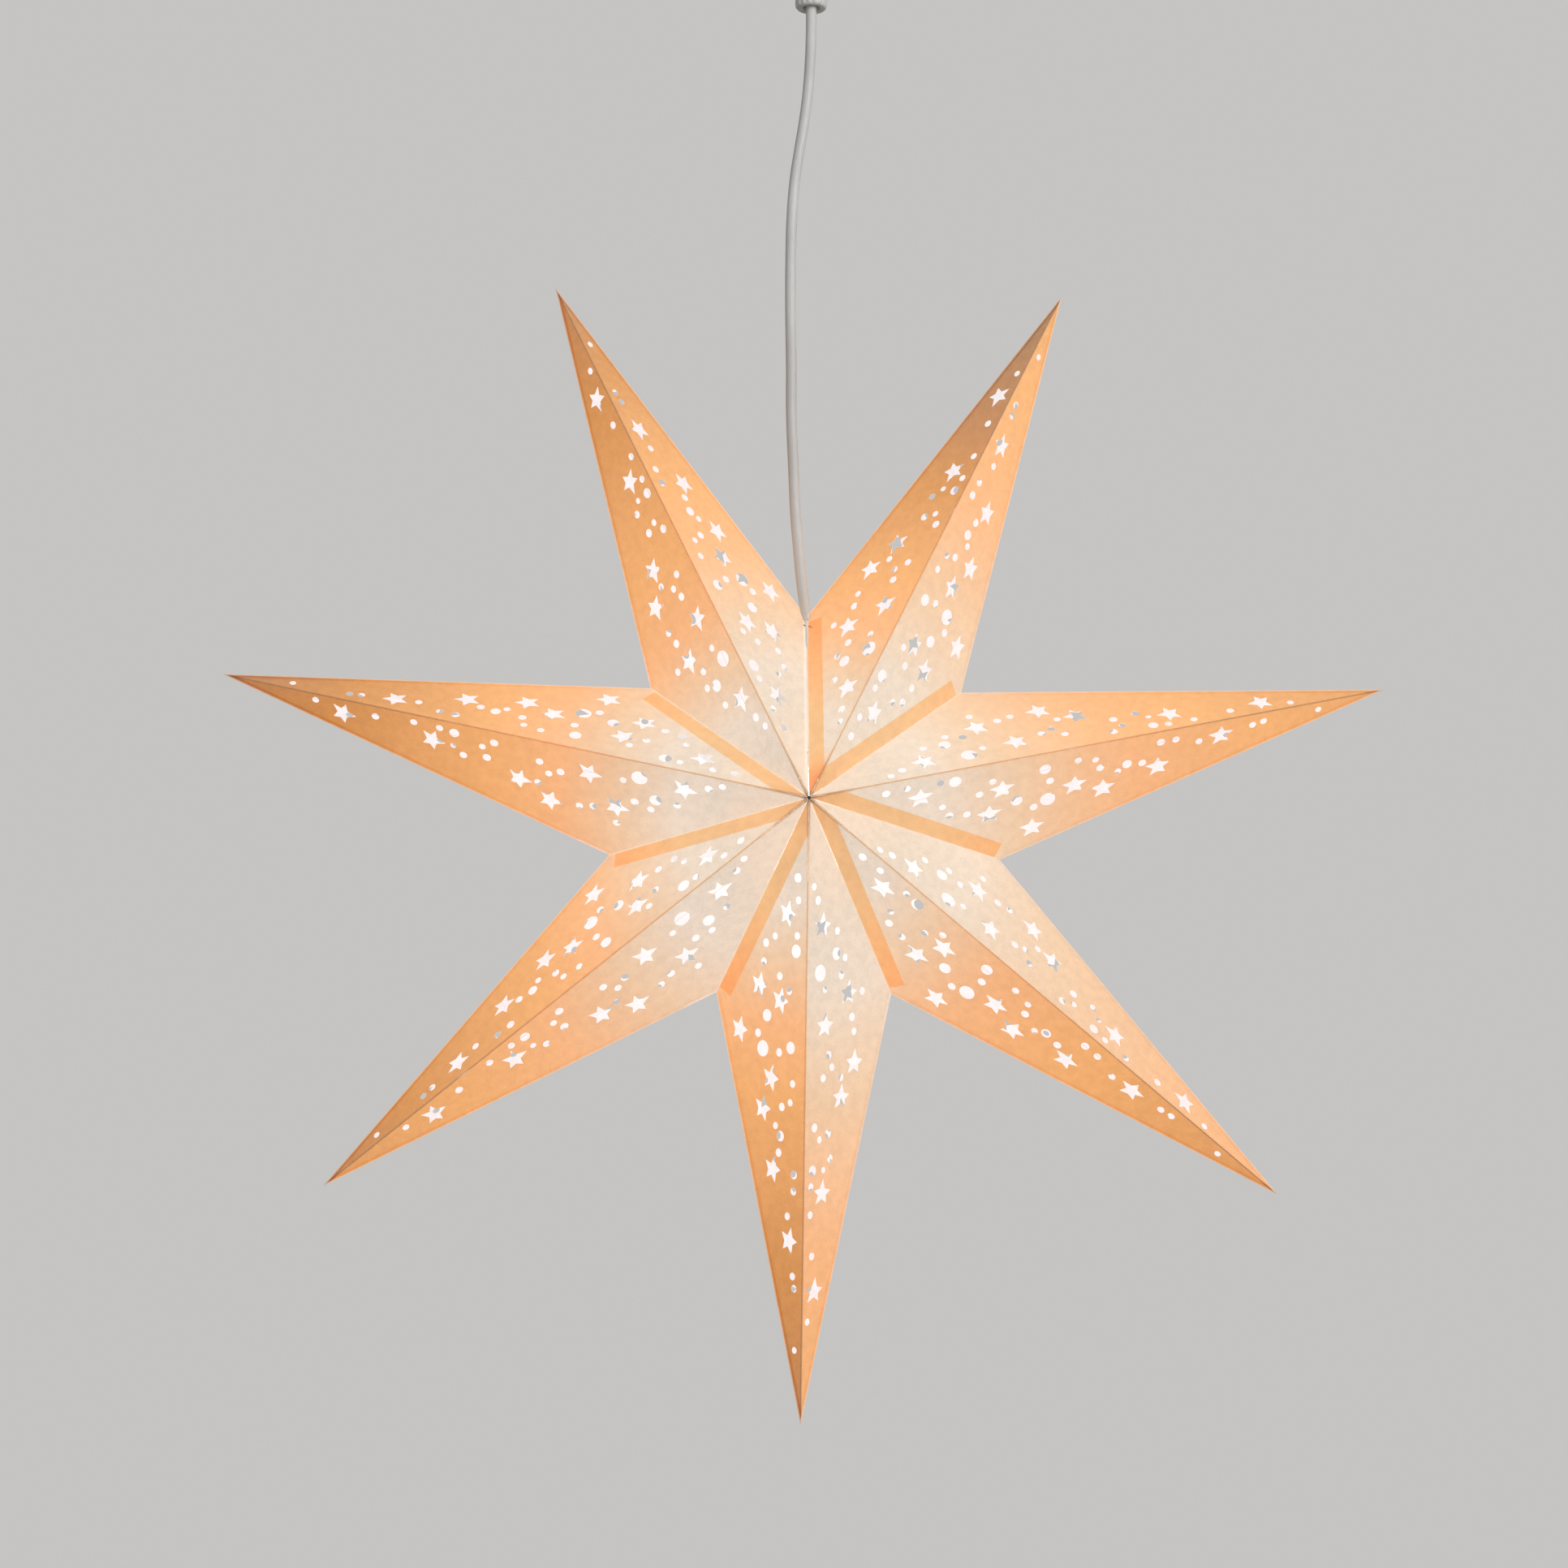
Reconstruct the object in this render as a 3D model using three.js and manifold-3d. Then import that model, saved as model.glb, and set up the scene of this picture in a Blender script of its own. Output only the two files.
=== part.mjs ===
// A seven-pointed folding paper star with a lamp inside it, hung from a ceiling cup by its cord.
// Millimetres, +Z up. The origin is on the flat face that meets the ceiling, above the star's hub.
// -Y is the front of the star. Every point is one creased sheet, so each flat panel between two
// creases is a mesh of its own, and the creases are the hinges that the star folds up on.
import * as THREE from "three";
import { mergeVertices } from "three/addons/utils/BufferGeometryUtils.js";
import Module from "manifold-3d";

const wasm = await Module();
wasm.setup();

// Driving dimensions of the star.
const POINTS = 7;
const TIP_RADIUS = 300;
const VALLEY_RADIUS = 100;
const HALF_DEPTH = 55;
const HUB_DROP = 495; // from the ceiling down to the centre of the star

// Paper.
const PAPER = 0.25; // thickness of one sheet
const CREASE_GAP = 2.4; // from a panel to the crease of a ridge or a valley, so that it can fold shut
const RIM_GAP = 0.5; // from a panel to the crease along the outer edge, which only opens
const FLAP_WIDTH = 7;
const FLAP_INSET = 0.5; // from the valley side of a panel to its glue flap
const FLAP_END = 5; // from the valley corner to the square end of a flap
const FLAP_TO_RIDGE = 14; // a flap stops this far from the ridge, where the point folds flat
const GLUE_GAP = 0.3;
const CORD_NOTCH = 8; // how much of the four corners round the cord is cut off

// The star-shaped punched holes, in the flat panel: x along the ridge from the hub, y away from it.
// The two kinds of panel are named for the side of the ridge they are on, seen from outside with
// the tip held upwards. Each star has five arms, as [direction in degrees, length].
const PUNCHED = {
  left: {
    arms: [
      [29, 5.6],
      [103, 5.6],
      [175, 7.2],
      [253, 5.6],
      [319, 6.7],
    ],
    centres: [
      [130.6, 32.9],
      [96.3, 28.8],
      [62.5, 10.6],
      [111.2, 12.8],
      [147.1, 24.2],
      [193.0, 12.4],
      [240.5, 8.0],
    ],
  },
  right: {
    arms: [
      [42, 5.6],
      [133, 6.2],
      [190, 6.9],
      [272, 5.1],
      [346, 6.9],
    ],
    centres: [
      [115.4, 42.0],
      [92.7, 29.7],
      [56.9, 12.4],
      [99.5, 16.4],
      [137.8, 21.9],
      [152.9, 26.8],
      [182.2, 20.0],
      [216.0, 8.8],
    ],
  },
};
const ARM_NOTCH = 2.9; // from a punched star's centre to the corners between its arms

// Cord and lampholder.
const CORD_RADIUS = 2.75;
const CORD_BORE = 3.3;
const HOLDER_RADIUS = 13.8;
const THREAD_RADIUS = 12.5;
const SOCKET_RADIUS = 7.9;
const RING_BORE = 12.9;
const RING_RADIUS = 20;
const WIRE_RADIUS = 0.8;

// Bulb, with its E14 base.
const BULB_RADIUS = 22.5;
const BULB_CENTRE = -12; // its height, from the centre of the star
const GLASS = 0.9;
const NECK_RADIUS = 7.2;
const BASE_RADIUS = 6.9;

// Ceiling cup.
const PLATE_RADIUS = 38;
const PLATE = 3;
const SCREW_HOLE_RADIUS = 2.2;
const SCREW_SPACING = 50;
const CUP_RADIUS = 42;
const CUP_DEPTH = 60;
const WALL = 2;
const GLAND_RADIUS = 8.5;
const GLAND_NECK = 6;
const PIVOT_DEPTH = 66; // the cord swings from here, inside the gland
const GLAND_END = 72;
const GRIP_TOP = 44; // the cord's grip, on its end inside the cup
const GRIP_BOTTOM = 52;
const GRIP_RADIUS = 6;

const ROUND = 32; // sides of a turned piece

const steel = material(0xb9bcc0, 0.3, 0.9);
const paper = material(0xf6ead6, 0.85, 0);
const glueFlap = material(0xf2e2c8, 0.85, 0);
const whitePlastic = material(0xeeece6, 0.45, 0);
const cordJacket = material(0xd9d9d6, 0.55, 0);
const opalGlass = material(0xfff4e0, 0.15, 0);
const nickel = material(0xc9c4b8, 0.28, 1);
const thread = material(0xefe9dc, 0.9, 0);

const star = new THREE.Group();
star.position.z = -HUB_DROP;
const lamp = new THREE.Group();
lamp.position.z = -HUB_DROP;
const ceiling = new THREE.Group();
const root = new THREE.Group();
root.add(ceiling, lamp, star);

function material(color, roughness, metalness) {
  return new THREE.MeshStandardMaterial({ color, roughness, metalness });
}

function add(group, name, geometry, finish) {
  const mesh = new THREE.Mesh(geometry, finish);
  mesh.name = name;
  group.add(mesh);
}

// A point of the star's middle plane, turned clockwise from the top as seen from the front.
function around(radius, angle) {
  return new THREE.Vector3(radius * Math.sin(angle), 0, radius * Math.cos(angle));
}

// A solid of revolution about Z. The profile lists [radius, height], with the solid on its left.
function turned(profile, sides = ROUND) {
  const outline = profile.map(([radius, height]) => new THREE.Vector2(radius, height));
  return new THREE.LatheGeometry(outline, sides).rotateX(Math.PI / 2);
}

function closed(profile) {
  return [...profile, profile[0]];
}

// A round bar that follows points.
function bar(points, radius, steps, sides = 8, loop = false) {
  const path = new THREE.CatmullRomCurve3(points.map((p) => new THREE.Vector3(...p)), loop);
  const section = new THREE.Shape();
  section.absarc(0, 0, radius, 0, 2 * Math.PI);
  return new THREE.ExtrudeGeometry(section, {
    extrudePath: path,
    steps,
    curveSegments: sides / 2,
  });
}

function solidOf(geometry) {
  const flat = geometry.index ? geometry.toNonIndexed() : geometry;
  const bare = new THREE.BufferGeometry();
  bare.setAttribute("position", flat.getAttribute("position"));
  const merged = mergeVertices(bare, 1e-4);
  return new wasm.Manifold(
    new wasm.Mesh({
      numProp: 3,
      vertProperties: merged.attributes.position.array,
      triVerts: new Uint32Array(merged.index.array),
    }),
  );
}

function joined(...geometries) {
  const mesh = geometries.map(solidOf).reduce((whole, next) => whole.add(next)).getMesh();
  const geometry = new THREE.BufferGeometry();
  geometry.setAttribute("position", new THREE.BufferAttribute(mesh.vertProperties, 3));
  geometry.setIndex(new THREE.BufferAttribute(mesh.triVerts, 1));
  return geometry;
}

// ---- Paper panels ----

// The flat shape of a panel, the same for all 28: the hub at the origin, the ridge along x, and
// the valley corner above it.
const TURN = Math.PI / POINTS; // half of one point's share of the circle
const ridgeLength = Math.hypot(TIP_RADIUS, HALF_DEPTH);
const valleyLength = Math.hypot(VALLEY_RADIUS, HALF_DEPTH);
const rimLength = Math.hypot(
  TIP_RADIUS * Math.sin(TURN),
  TIP_RADIUS * Math.cos(TURN) - VALLEY_RADIUS,
);
const hubAngle = Math.acos(
  (ridgeLength ** 2 + valleyLength ** 2 - rimLength ** 2) / (2 * ridgeLength * valleyLength),
);
const flatHub = new THREE.Vector2(0, 0);
const flatTip = new THREE.Vector2(ridgeLength, 0);
const flatValley = new THREE.Vector2(Math.cos(hubAngle), Math.sin(hubAngle)).multiplyScalar(
  valleyLength,
);

// The line from a to b, moved to its left by gap.
function offsetLine(a, b, gap) {
  const along = b.clone().sub(a).normalize();
  const left = new THREE.Vector2(-along.y, along.x);
  return { start: a.clone().addScaledVector(left, gap), along, left };
}

function crossing(one, other) {
  const between = other.start.clone().sub(one.start);
  const distance = between.cross(other.along) / one.along.cross(other.along);
  return one.start.clone().addScaledVector(one.along, distance);
}

const ridgeSide = offsetLine(flatHub, flatTip, CREASE_GAP);
const rimSide = offsetLine(flatTip, flatValley, RIM_GAP);
const valleySide = offsetLine(flatValley, flatHub, CREASE_GAP);
const panelCorners = [
  crossing(valleySide, ridgeSide),
  crossing(ridgeSide, rimSide),
  crossing(rimSide, valleySide),
];

// The panels beside the top seam lose the corner that the cord passes.
function notched([hub, tip, valley]) {
  return [
    hub,
    tip,
    valley.clone().addScaledVector(rimSide.along, -CORD_NOTCH),
    valley.clone().addScaledVector(valleySide.along, CORD_NOTCH),
  ];
}

// A glue flap: a strip along the valley crease, cut short of the ridge and square near the valley.
function flapCorners() {
  const nearEdge = offsetLine(flatValley, flatHub, CREASE_GAP + FLAP_INSET);
  const farEdge = offsetLine(flatValley, flatHub, CREASE_GAP + FLAP_INSET + FLAP_WIDTH);
  const ridgeLimit = offsetLine(flatHub, flatTip, FLAP_TO_RIDGE);
  const squareEnd = {
    start: flatValley.clone().addScaledVector(valleySide.along, FLAP_END),
    along: valleySide.left,
  };
  return [
    crossing(nearEdge, ridgeLimit),
    crossing(farEdge, ridgeLimit),
    crossing(farEdge, squareEnd),
    crossing(nearEdge, squareEnd),
  ];
}

function starHole([x, y], arms) {
  const corner = (degrees, length) => {
    const angle = THREE.MathUtils.degToRad(degrees);
    return new THREE.Vector2(x + length * Math.cos(angle), y + length * Math.sin(angle));
  };
  return arms.flatMap(([direction, length], i) => {
    const next = i + 1 < arms.length ? arms[i + 1][0] : arms[0][0] + 360;
    return [corner(direction, length), corner((direction + next) / 2, ARM_NOTCH)];
  });
}

// A flat piece of paper with its middle at a depth under the panel's own plane, placed by the
// panel's hub, tip and valley corners in the star's frame.
function paperPiece(corners, { hub, tip, valley }, depth = 0, holes = []) {
  const x = tip.clone().sub(hub).normalize();
  const side = valley.clone().sub(hub);
  const y = side.clone().addScaledVector(x, -side.dot(x)).normalize();
  const z = x.clone().cross(y);
  const inwards = hub.clone().negate().dot(z) > 0 ? 1 : -1;
  const shape = new THREE.Shape(corners);
  shape.holes = holes.map((hole) => new THREE.Path(hole));
  const geometry = new THREE.ExtrudeGeometry(shape, {
    depth: PAPER,
    bevelEnabled: false,
  });
  geometry.translate(0, 0, inwards * depth - PAPER / 2);
  return geometry.applyMatrix4(new THREE.Matrix4().makeBasis(x, y, z).setPosition(hub));
}

const faces = { front: -HALF_DEPTH, back: HALF_DEPTH };
const glueDepth = PAPER + GLUE_GAP;

// Points are numbered clockwise from the seam at the top, as seen from the front. A panel is on
// the left or the right of its ridge with the point's tip held upwards.
for (let point = 1; point <= POINTS; point++) {
  const tip = around(TIP_RADIUS, (2 * point - 1) * TURN);
  const valleys = {
    left: around(VALLEY_RADIUS, (2 * point - 2) * TURN),
    right: around(VALLEY_RADIUS, 2 * point * TURN),
  };
  for (const [face, hubY] of Object.entries(faces)) {
    const hub = new THREE.Vector3(0, hubY, 0);
    for (const [side, valley] of Object.entries(valleys)) {
      const besideSeam = (point === 1 && side === "left") || (point === POINTS && side === "right");
      const corners = besideSeam ? notched(panelCorners) : panelCorners;
      const mirrored = side === "left" ? "right" : "left";
      const { arms, centres } = PUNCHED[face === "front" ? side : mirrored];
      const holes = centres.map((centre) => starHole(centre, arms));
      const panel = paperPiece(corners, { hub, tip, valley }, 0, holes);
      add(star, `point_${point}_${face}_${side}`, panel, paper);
    }
    // A point's flap is glued under its neighbour on the left. Point 1 is beside the seam, so its
    // flap is folded back under itself.
    const host = point === 1 ? 1 : point - 1;
    const hostPlace = {
      hub,
      tip: around(TIP_RADIUS, (2 * host - 1) * TURN),
      valley: around(VALLEY_RADIUS, (2 * point - 2) * TURN),
    };
    const flap = paperPiece(flapCorners(), hostPlace, glueDepth);
    add(star, `point_${point}_${face}_flap`, flap, glueFlap);
  }
}

// The knotted threads that hold the corners of the panels together at the two hubs.
const KNOT_RADIUS = 1.9;
function knot(y) {
  return new THREE.SphereGeometry(KNOT_RADIUS, 12, 8).scale(1, 0.8, 1.3).translate(0, y, 0);
}
add(lamp, "hub_thread_front", knot(-HALF_DEPTH), thread);
add(star, "hub_thread_back", knot(HALF_DEPTH), thread);

// ---- Lampholder, hanger and bulb, with heights from the centre of the star ----

const CAP_TOP = 82;
const CAP_BOTTOM = 62;
const BODY_TOP = 61.5;
const SOCKET_FLOOR = 50;
const BODY_BOTTOM = 18;

add(
  lamp,
  "lampholder_cap",
  turned(
    closed([
      [CORD_BORE, CAP_TOP],
      [CORD_BORE, 68],
      [HOLDER_RADIUS - WALL - 1, 65],
      [HOLDER_RADIUS - WALL - 1, CAP_BOTTOM],
      [HOLDER_RADIUS, CAP_BOTTOM],
      [HOLDER_RADIUS, 66],
      [11.5, 72],
      [6.5, 78],
      [5.2, CAP_TOP],
    ]),
  ),
  whitePlastic,
);
add(
  lamp,
  "lampholder_body",
  turned([
    [0, SOCKET_FLOOR],
    [SOCKET_RADIUS, SOCKET_FLOOR],
    [SOCKET_RADIUS, BODY_BOTTOM],
    [THREAD_RADIUS, BODY_BOTTOM],
    [THREAD_RADIUS, 44],
    [HOLDER_RADIUS, 46],
    [HOLDER_RADIUS, BODY_TOP],
    [0, BODY_TOP],
  ]),
  whitePlastic,
);
add(
  lamp,
  "shade_ring",
  turned(
    closed([
      [RING_BORE, 20],
      [RING_RADIUS, 20],
      [RING_RADIUS, 22.5],
      [RING_BORE + 3, 23.5],
      [RING_BORE + 3, 28],
      [RING_BORE, 28],
    ]),
  ),
  whitePlastic,
);

// The wire hanger: an eye round the holder, held down by the shade ring, and two legs that rise to
// the top valley and hook outwards through the seam.
const EYE_RADIUS = 14.4;
const EYE_HEIGHT = 29.6;
function eye() {
  const sides = 20;
  const points = Array.from({ length: sides }, (_, i) => {
    const angle = (2 * Math.PI * i) / sides;
    return [EYE_RADIUS * Math.cos(angle), EYE_RADIUS * Math.sin(angle), EYE_HEIGHT];
  });
  return turned(
    closed(
      Array.from({ length: 8 }, (_, i) => {
        const angle = (2 * Math.PI * i) / 8;
        return [EYE_RADIUS + WIRE_RADIUS * Math.cos(angle), EYE_HEIGHT + WIRE_RADIUS * Math.sin(angle)];
      }),
    ),
    points.length + 12,
  );
}
function hangerLeg(front) {
  const route = [
    [EYE_RADIUS, EYE_HEIGHT],
    [16.2, 33],
    [16.6, 44],
    [16.4, 58],
    [15.2, 68],
    [10.4, 79],
    [7.4, 88],
    [5.4, 95],
    [6.6, 99.2],
    [9.6, 99.5],
    [11.4, 96.5],
  ];
  return bar(route.map(([y, z]) => [0, front ? -y : y, z]), WIRE_RADIUS, 36);
}
add(lamp, "wire_hanger", joined(eye(), hangerLeg(true), hangerLeg(false)), steel);

const NECK_TOP = 17;
const SHOULDER = 6; // where the round bulb runs into its neck
function bulbGlass() {
  const outline = [];
  const steps = 10;
  const start = -Math.PI / 2;
  const end = Math.asin((SHOULDER - BULB_CENTRE) / BULB_RADIUS);
  for (let i = 0; i <= steps; i++) outline.push(start + ((end - start) * i) / steps);
  const shell = (radius, neck) => [
    ...outline.map((a) => [radius * Math.cos(a), BULB_CENTRE + radius * Math.sin(a)]),
    [neck, NECK_TOP],
  ];
  const outside = shell(BULB_RADIUS, NECK_RADIUS);
  const inside = shell(BULB_RADIUS - GLASS, NECK_RADIUS - GLASS);
  outside[0][0] = inside[0][0] = 0;
  return turned([...outside, ...inside.reverse()]);
}
add(lamp, "bulb_glass", bulbGlass(), opalGlass);

// The base is a rolled screw thread: rings that step in and out, then the insulator and contact.
const BASE_BOTTOM = NECK_TOP + 0.4;
const THREAD_PITCH = 2.8;
const THREAD_DEPTH = 0.5;
function bulbBase() {
  const profile = [
    [0, BASE_BOTTOM],
    [BASE_RADIUS - THREAD_DEPTH, BASE_BOTTOM],
  ];
  for (let ring = 0; ring < 5; ring++) {
    const bottom = BASE_BOTTOM + 6 + ring * THREAD_PITCH;
    profile.push([BASE_RADIUS - THREAD_DEPTH, bottom]);
    profile.push([BASE_RADIUS, bottom + THREAD_PITCH / 2]);
  }
  profile.push([BASE_RADIUS - 1, 42], [4, 45.5], [3.4, 46], [3.2, 47.6], [0, 48]);
  return turned(profile);
}
add(lamp, "bulb_base", bulbBase(), nickel);

// The stem that carries the lit filament inside the glass.
const STEM_BOTTOM = -20;
add(
  lamp,
  "bulb_stem",
  turned(
    [
      [0, STEM_BOTTOM],
      [2.5, STEM_BOTTOM],
      [2.5, 6],
      [5, NECK_TOP],
      [0, NECK_TOP],
    ],
    16,
  ),
  opalGlass,
);

// ---- Cord ----

// The cord's centre line, as [x, height above the hub]: up from the lampholder, out at the top
// valley, and on in a slight bow to the gland of the ceiling cup.
const cordRoute = [
  [0, 70],
  [0, 82],
  [0, 92],
  [-0.6, 102],
  [-2.7, 118],
  [-4.4, 135],
  [-5.9, 151],
  [-7.3, 178],
  [-8.6, 206],
  [-8.8, 230],
  [-9.5, 262],
  [-9.6, 288],
  [-9.1, 312],
  [-7.8, 330],
  [-5.6, 346],
  [-3.2, 362],
  [-1.4, 378],
  [-0.4, 394],
  [0, 408],
  [0, 420],
  [0, 436],
  [0, HUB_DROP - GRIP_BOTTOM - GLUE_GAP],
];
const cordPath = cordRoute.map(([x, height]) => [x, 0, height - HUB_DROP]);
add(ceiling, "cord", bar(cordPath, CORD_RADIUS, 64), cordJacket);

// ---- Ceiling cup, with heights from the ceiling ----

function ceilingPlate() {
  const disc = new THREE.Shape();
  disc.absarc(0, 0, PLATE_RADIUS, 0, 2 * Math.PI);
  for (const x of [-SCREW_SPACING / 2, SCREW_SPACING / 2]) {
    const hole = new THREE.Path();
    hole.absarc(x, 0, SCREW_HOLE_RADIUS, 0, 2 * Math.PI, true);
    disc.holes.push(hole);
  }
  return new THREE.ExtrudeGeometry(disc, {
    depth: PLATE,
    bevelEnabled: false,
    curveSegments: ROUND,
  }).translate(0, 0, -PLATE);
}
add(ceiling, "ceiling_plate", ceilingPlate(), steel);

const BLOCK = { width: 24, depth: 14, height: 16 };
add(
  ceiling,
  "terminal_block",
  new THREE.BoxGeometry(BLOCK.width, BLOCK.depth, BLOCK.height).translate(
    0,
    0,
    -PLATE - GLUE_GAP - BLOCK.height / 2,
  ),
  whitePlastic,
);

const CUP_MOUTH = 0.6; // the cup's rim stays this far below the ceiling face
const cupOutside = [
  [GLAND_NECK + 0.4, -CUP_DEPTH],
  [16, -CUP_DEPTH],
  [20, -57],
  [25, -46],
  [33, -24],
  [39, -10],
  [CUP_RADIUS, -CUP_MOUTH],
];
const cupInside = [
  [CUP_RADIUS - WALL, -CUP_MOUTH],
  [39 - WALL - 0.3, -10],
  [33 - WALL, -23],
  [25 - WALL, -45],
  [18.2, -55.5],
  [15, -CUP_DEPTH + WALL],
  [GLAND_NECK + 0.4, -CUP_DEPTH + WALL],
];
add(ceiling, "ceiling_cup", turned(closed([...cupOutside, ...cupInside])), whitePlastic);

// The grip that is clamped on the end of the cord, inside the cup.
add(
  ceiling,
  "cord_grip",
  turned([
    [0, -GRIP_BOTTOM],
    [GRIP_RADIUS - 1, -GRIP_BOTTOM],
    [GRIP_RADIUS, -GRIP_BOTTOM + 1],
    [GRIP_RADIUS, -GRIP_TOP - 1],
    [GRIP_RADIUS - 1, -GRIP_TOP],
    [0, -GRIP_TOP],
  ]),
  whitePlastic,
);

// The gland: a flange inside the cup, a neck through its hole, and a bore that is narrowest in the
// middle, so that the cord can swing in it.
add(
  ceiling,
  "cord_gland",
  turned(
    closed([
      [3.4, -PIVOT_DEPTH],
      [4.9, -GLAND_END],
      [7.2, -GLAND_END],
      [GLAND_RADIUS, -GLAND_END + 3],
      [GLAND_RADIUS, -CUP_DEPTH - 0.4],
      [GLAND_NECK, -CUP_DEPTH - 0.4],
      [GLAND_NECK, -CUP_DEPTH + WALL + 0.4],
      [GLAND_RADIUS, -CUP_DEPTH + WALL + 0.4],
      [GLAND_RADIUS, -CUP_DEPTH + WALL + 2.6],
      [5.4, -CUP_DEPTH + WALL + 2.6],
    ]),
    24,
  ),
  whitePlastic,
);

export default root;
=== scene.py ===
"""Looks for the folding paper star lantern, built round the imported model. Metres, +Z up."""

import math

import bpy
from mathutils import Matrix, Vector
from mathutils import noise as field
from mathutils.geometry import delaunay_2d_cdt


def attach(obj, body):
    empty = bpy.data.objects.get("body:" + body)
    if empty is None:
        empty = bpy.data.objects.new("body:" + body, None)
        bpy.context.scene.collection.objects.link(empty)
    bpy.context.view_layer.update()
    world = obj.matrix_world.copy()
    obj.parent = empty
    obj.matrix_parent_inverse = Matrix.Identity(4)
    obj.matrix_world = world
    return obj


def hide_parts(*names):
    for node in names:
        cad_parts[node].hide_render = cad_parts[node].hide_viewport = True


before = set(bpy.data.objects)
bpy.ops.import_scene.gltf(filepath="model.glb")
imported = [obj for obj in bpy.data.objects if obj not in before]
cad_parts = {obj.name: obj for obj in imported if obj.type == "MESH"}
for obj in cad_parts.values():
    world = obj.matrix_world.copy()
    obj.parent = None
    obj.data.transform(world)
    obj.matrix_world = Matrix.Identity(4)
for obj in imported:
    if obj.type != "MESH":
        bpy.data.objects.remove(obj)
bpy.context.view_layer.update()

MM = 0.001

# ---- The star's measures, as in the CAD model, in millimetres ----

POINTS = 7
TIP_RADIUS = 300.0
VALLEY_RADIUS = 100.0
HALF_DEPTH = 55.0
HUB_HEIGHT = -495.0  # the centre of the star
TURN = math.pi / POINTS

RIDGE = math.hypot(TIP_RADIUS, HALF_DEPTH)
VALLEY = math.hypot(VALLEY_RADIUS, HALF_DEPTH)
RIM = math.hypot(TIP_RADIUS * math.sin(TURN), TIP_RADIUS * math.cos(TURN) - VALLEY_RADIUS)
HUB_ANGLE = math.acos((RIDGE**2 + VALLEY**2 - RIM**2) / (2 * RIDGE * VALLEY))

# A panel lies flat with the hub at the origin, the ridge along x and the valley corner above.
FLAT_TIP = Vector((RIDGE, 0))
FLAT_VALLEY = Vector((math.cos(HUB_ANGLE), math.sin(HUB_ANGLE))) * VALLEY
RIM_ALONG = (FLAT_VALLEY - FLAT_TIP).normalized()
RIM_INWARD = Vector((-RIM_ALONG.y, RIM_ALONG.x))
VALLEY_ALONG = FLAT_VALLEY.normalized()
VALLEY_INWARD = Vector((VALLEY_ALONG.y, -VALLEY_ALONG.x))

PAPER = 0.22  # the sheet's thickness
THINNEST, RIDGE_TAPER, RIM_TAPER = 0.012, 0.02, 0.5  # it thins towards the ridge and the rim
HUB_CUT = 0.9  # the paper stops this far from the hub, where the thread goes through
TIP_CUT = 0.05
RIM_CUT = 1.4  # a point's sheet is cut back by this much beside the valley
RIM_CUT_LENGTH, RIM_CUT_SLANT = 18.0, 1.2
CREASE_GAP = 0.01  # between two sheets that meet at a crease
CREASE_BEVEL, BEVEL_TAPER = 0.15, 0.1  # the sheet's inner skin stops this far short of the ridge
GRID = 8.0  # between the extra corners inside a sheet

# A glue flap: its width, how far it stops short of the valley's corner, the slant of its end,
# and its margins.
FLAP_WIDTH, FLAP_END, FLAP_SLANT = 8.8, 3.5, 0.6
FLAP_OFF_VALLEY, FLAP_OFF_RIDGE = 0.35, 0.7
FLAP_GAP, FLAP_GAP_LEAST, FLAP_GAP_TAPER = 0.06, 0.004, 0.006  # between it and the sheet

# At the open seam, the corner of each sheet is cut off: so far along the rim and the valley. The
# one without the flap also stands off: [place along the valley, how far the sheet is from it].
FOLDED_CORNER, FOLDED_END = 4.0, 3.4
SLOT_CORNER = 3.6
SLOT_EDGE = [
    (VALLEY - 3.2, 0.45), (78, 0.40), (50, 0.55), (24, 0.45), (6, 0.25), (HUB_CUT + 0.6, 0.15),
]

# How the paper bows between its creases: the size of its waves, and how far they go.
SLOW_WAVE, SLOW_BOW, SINK = 70, 0.9, 0.1
FINE_WAVE, FINE_BOW = 16, 0.14
BOW_LIMIT_INWARD = 0.022  # for each millimetre from the ridge
BOW_LIMIT_OUTWARD = 0.045  # for each millimetre from the valley

# ---- The punched pattern, in the flat panel: [x, y] or [x, y, radius] ----

# Each star has five arms: their directions in degrees and their lengths.
LEFT_ARMS = [(103, 5.6), (29, 5.6), (-41, 6.7), (-107, 5.6), (175, 7.2)]
RIGHT_ARMS = [(42, 5.6), (-14, 6.9), (-88, 5.1), (190, 6.9), (133, 6.2)]
ARM_NOTCH = 2.9  # radius of the corners between the arms
DOT_STRETCH = (1.06, 0.94)  # a dot is a little wider along the point than across it

LEFT_STARS = [
    (130.6, 32.9), (96.3, 28.8), (62.5, 10.6), (111.2, 12.8),
    (147.1, 24.2), (193.0, 12.4), (240.5, 8.0),
]
LEFT_DOTS = [
    (95.7, 37.9, 1.8), (108.1, 31.1, 2.0), (115.3, 32.6, 1.8), (137.3, 24.0, 1.8),
    (131.8, 17.7, 1.8), (125.8, 15.4, 2.0), (136.8, 11.9, 1.9), (93.6, 12.6, 1.7),
    (87.1, 23.6, 2.0), (78.6, 26.0, 1.8), (76.5, 20.2, 3.0), (65.4, 20.5, 1.8),
    (85.4, 9.3, 3.9), (50.0, 7.2, 2.0), (43.3, 4.4, 1.7), (160.6, 6.7, 2.1),
    (164.2, 15.9, 2.1), (166.7, 10.2, 1.7), (176.5, 17.4, 1.9), (181.8, 13.1, 1.5),
    (181.5, 5.8, 2.5), (189.3, 4.8, 1.8), (202.9, 4.6, 1.8), (223.2, 6.0, 1.9),
    (255.0, 3.6, 1.7),
]
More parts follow.
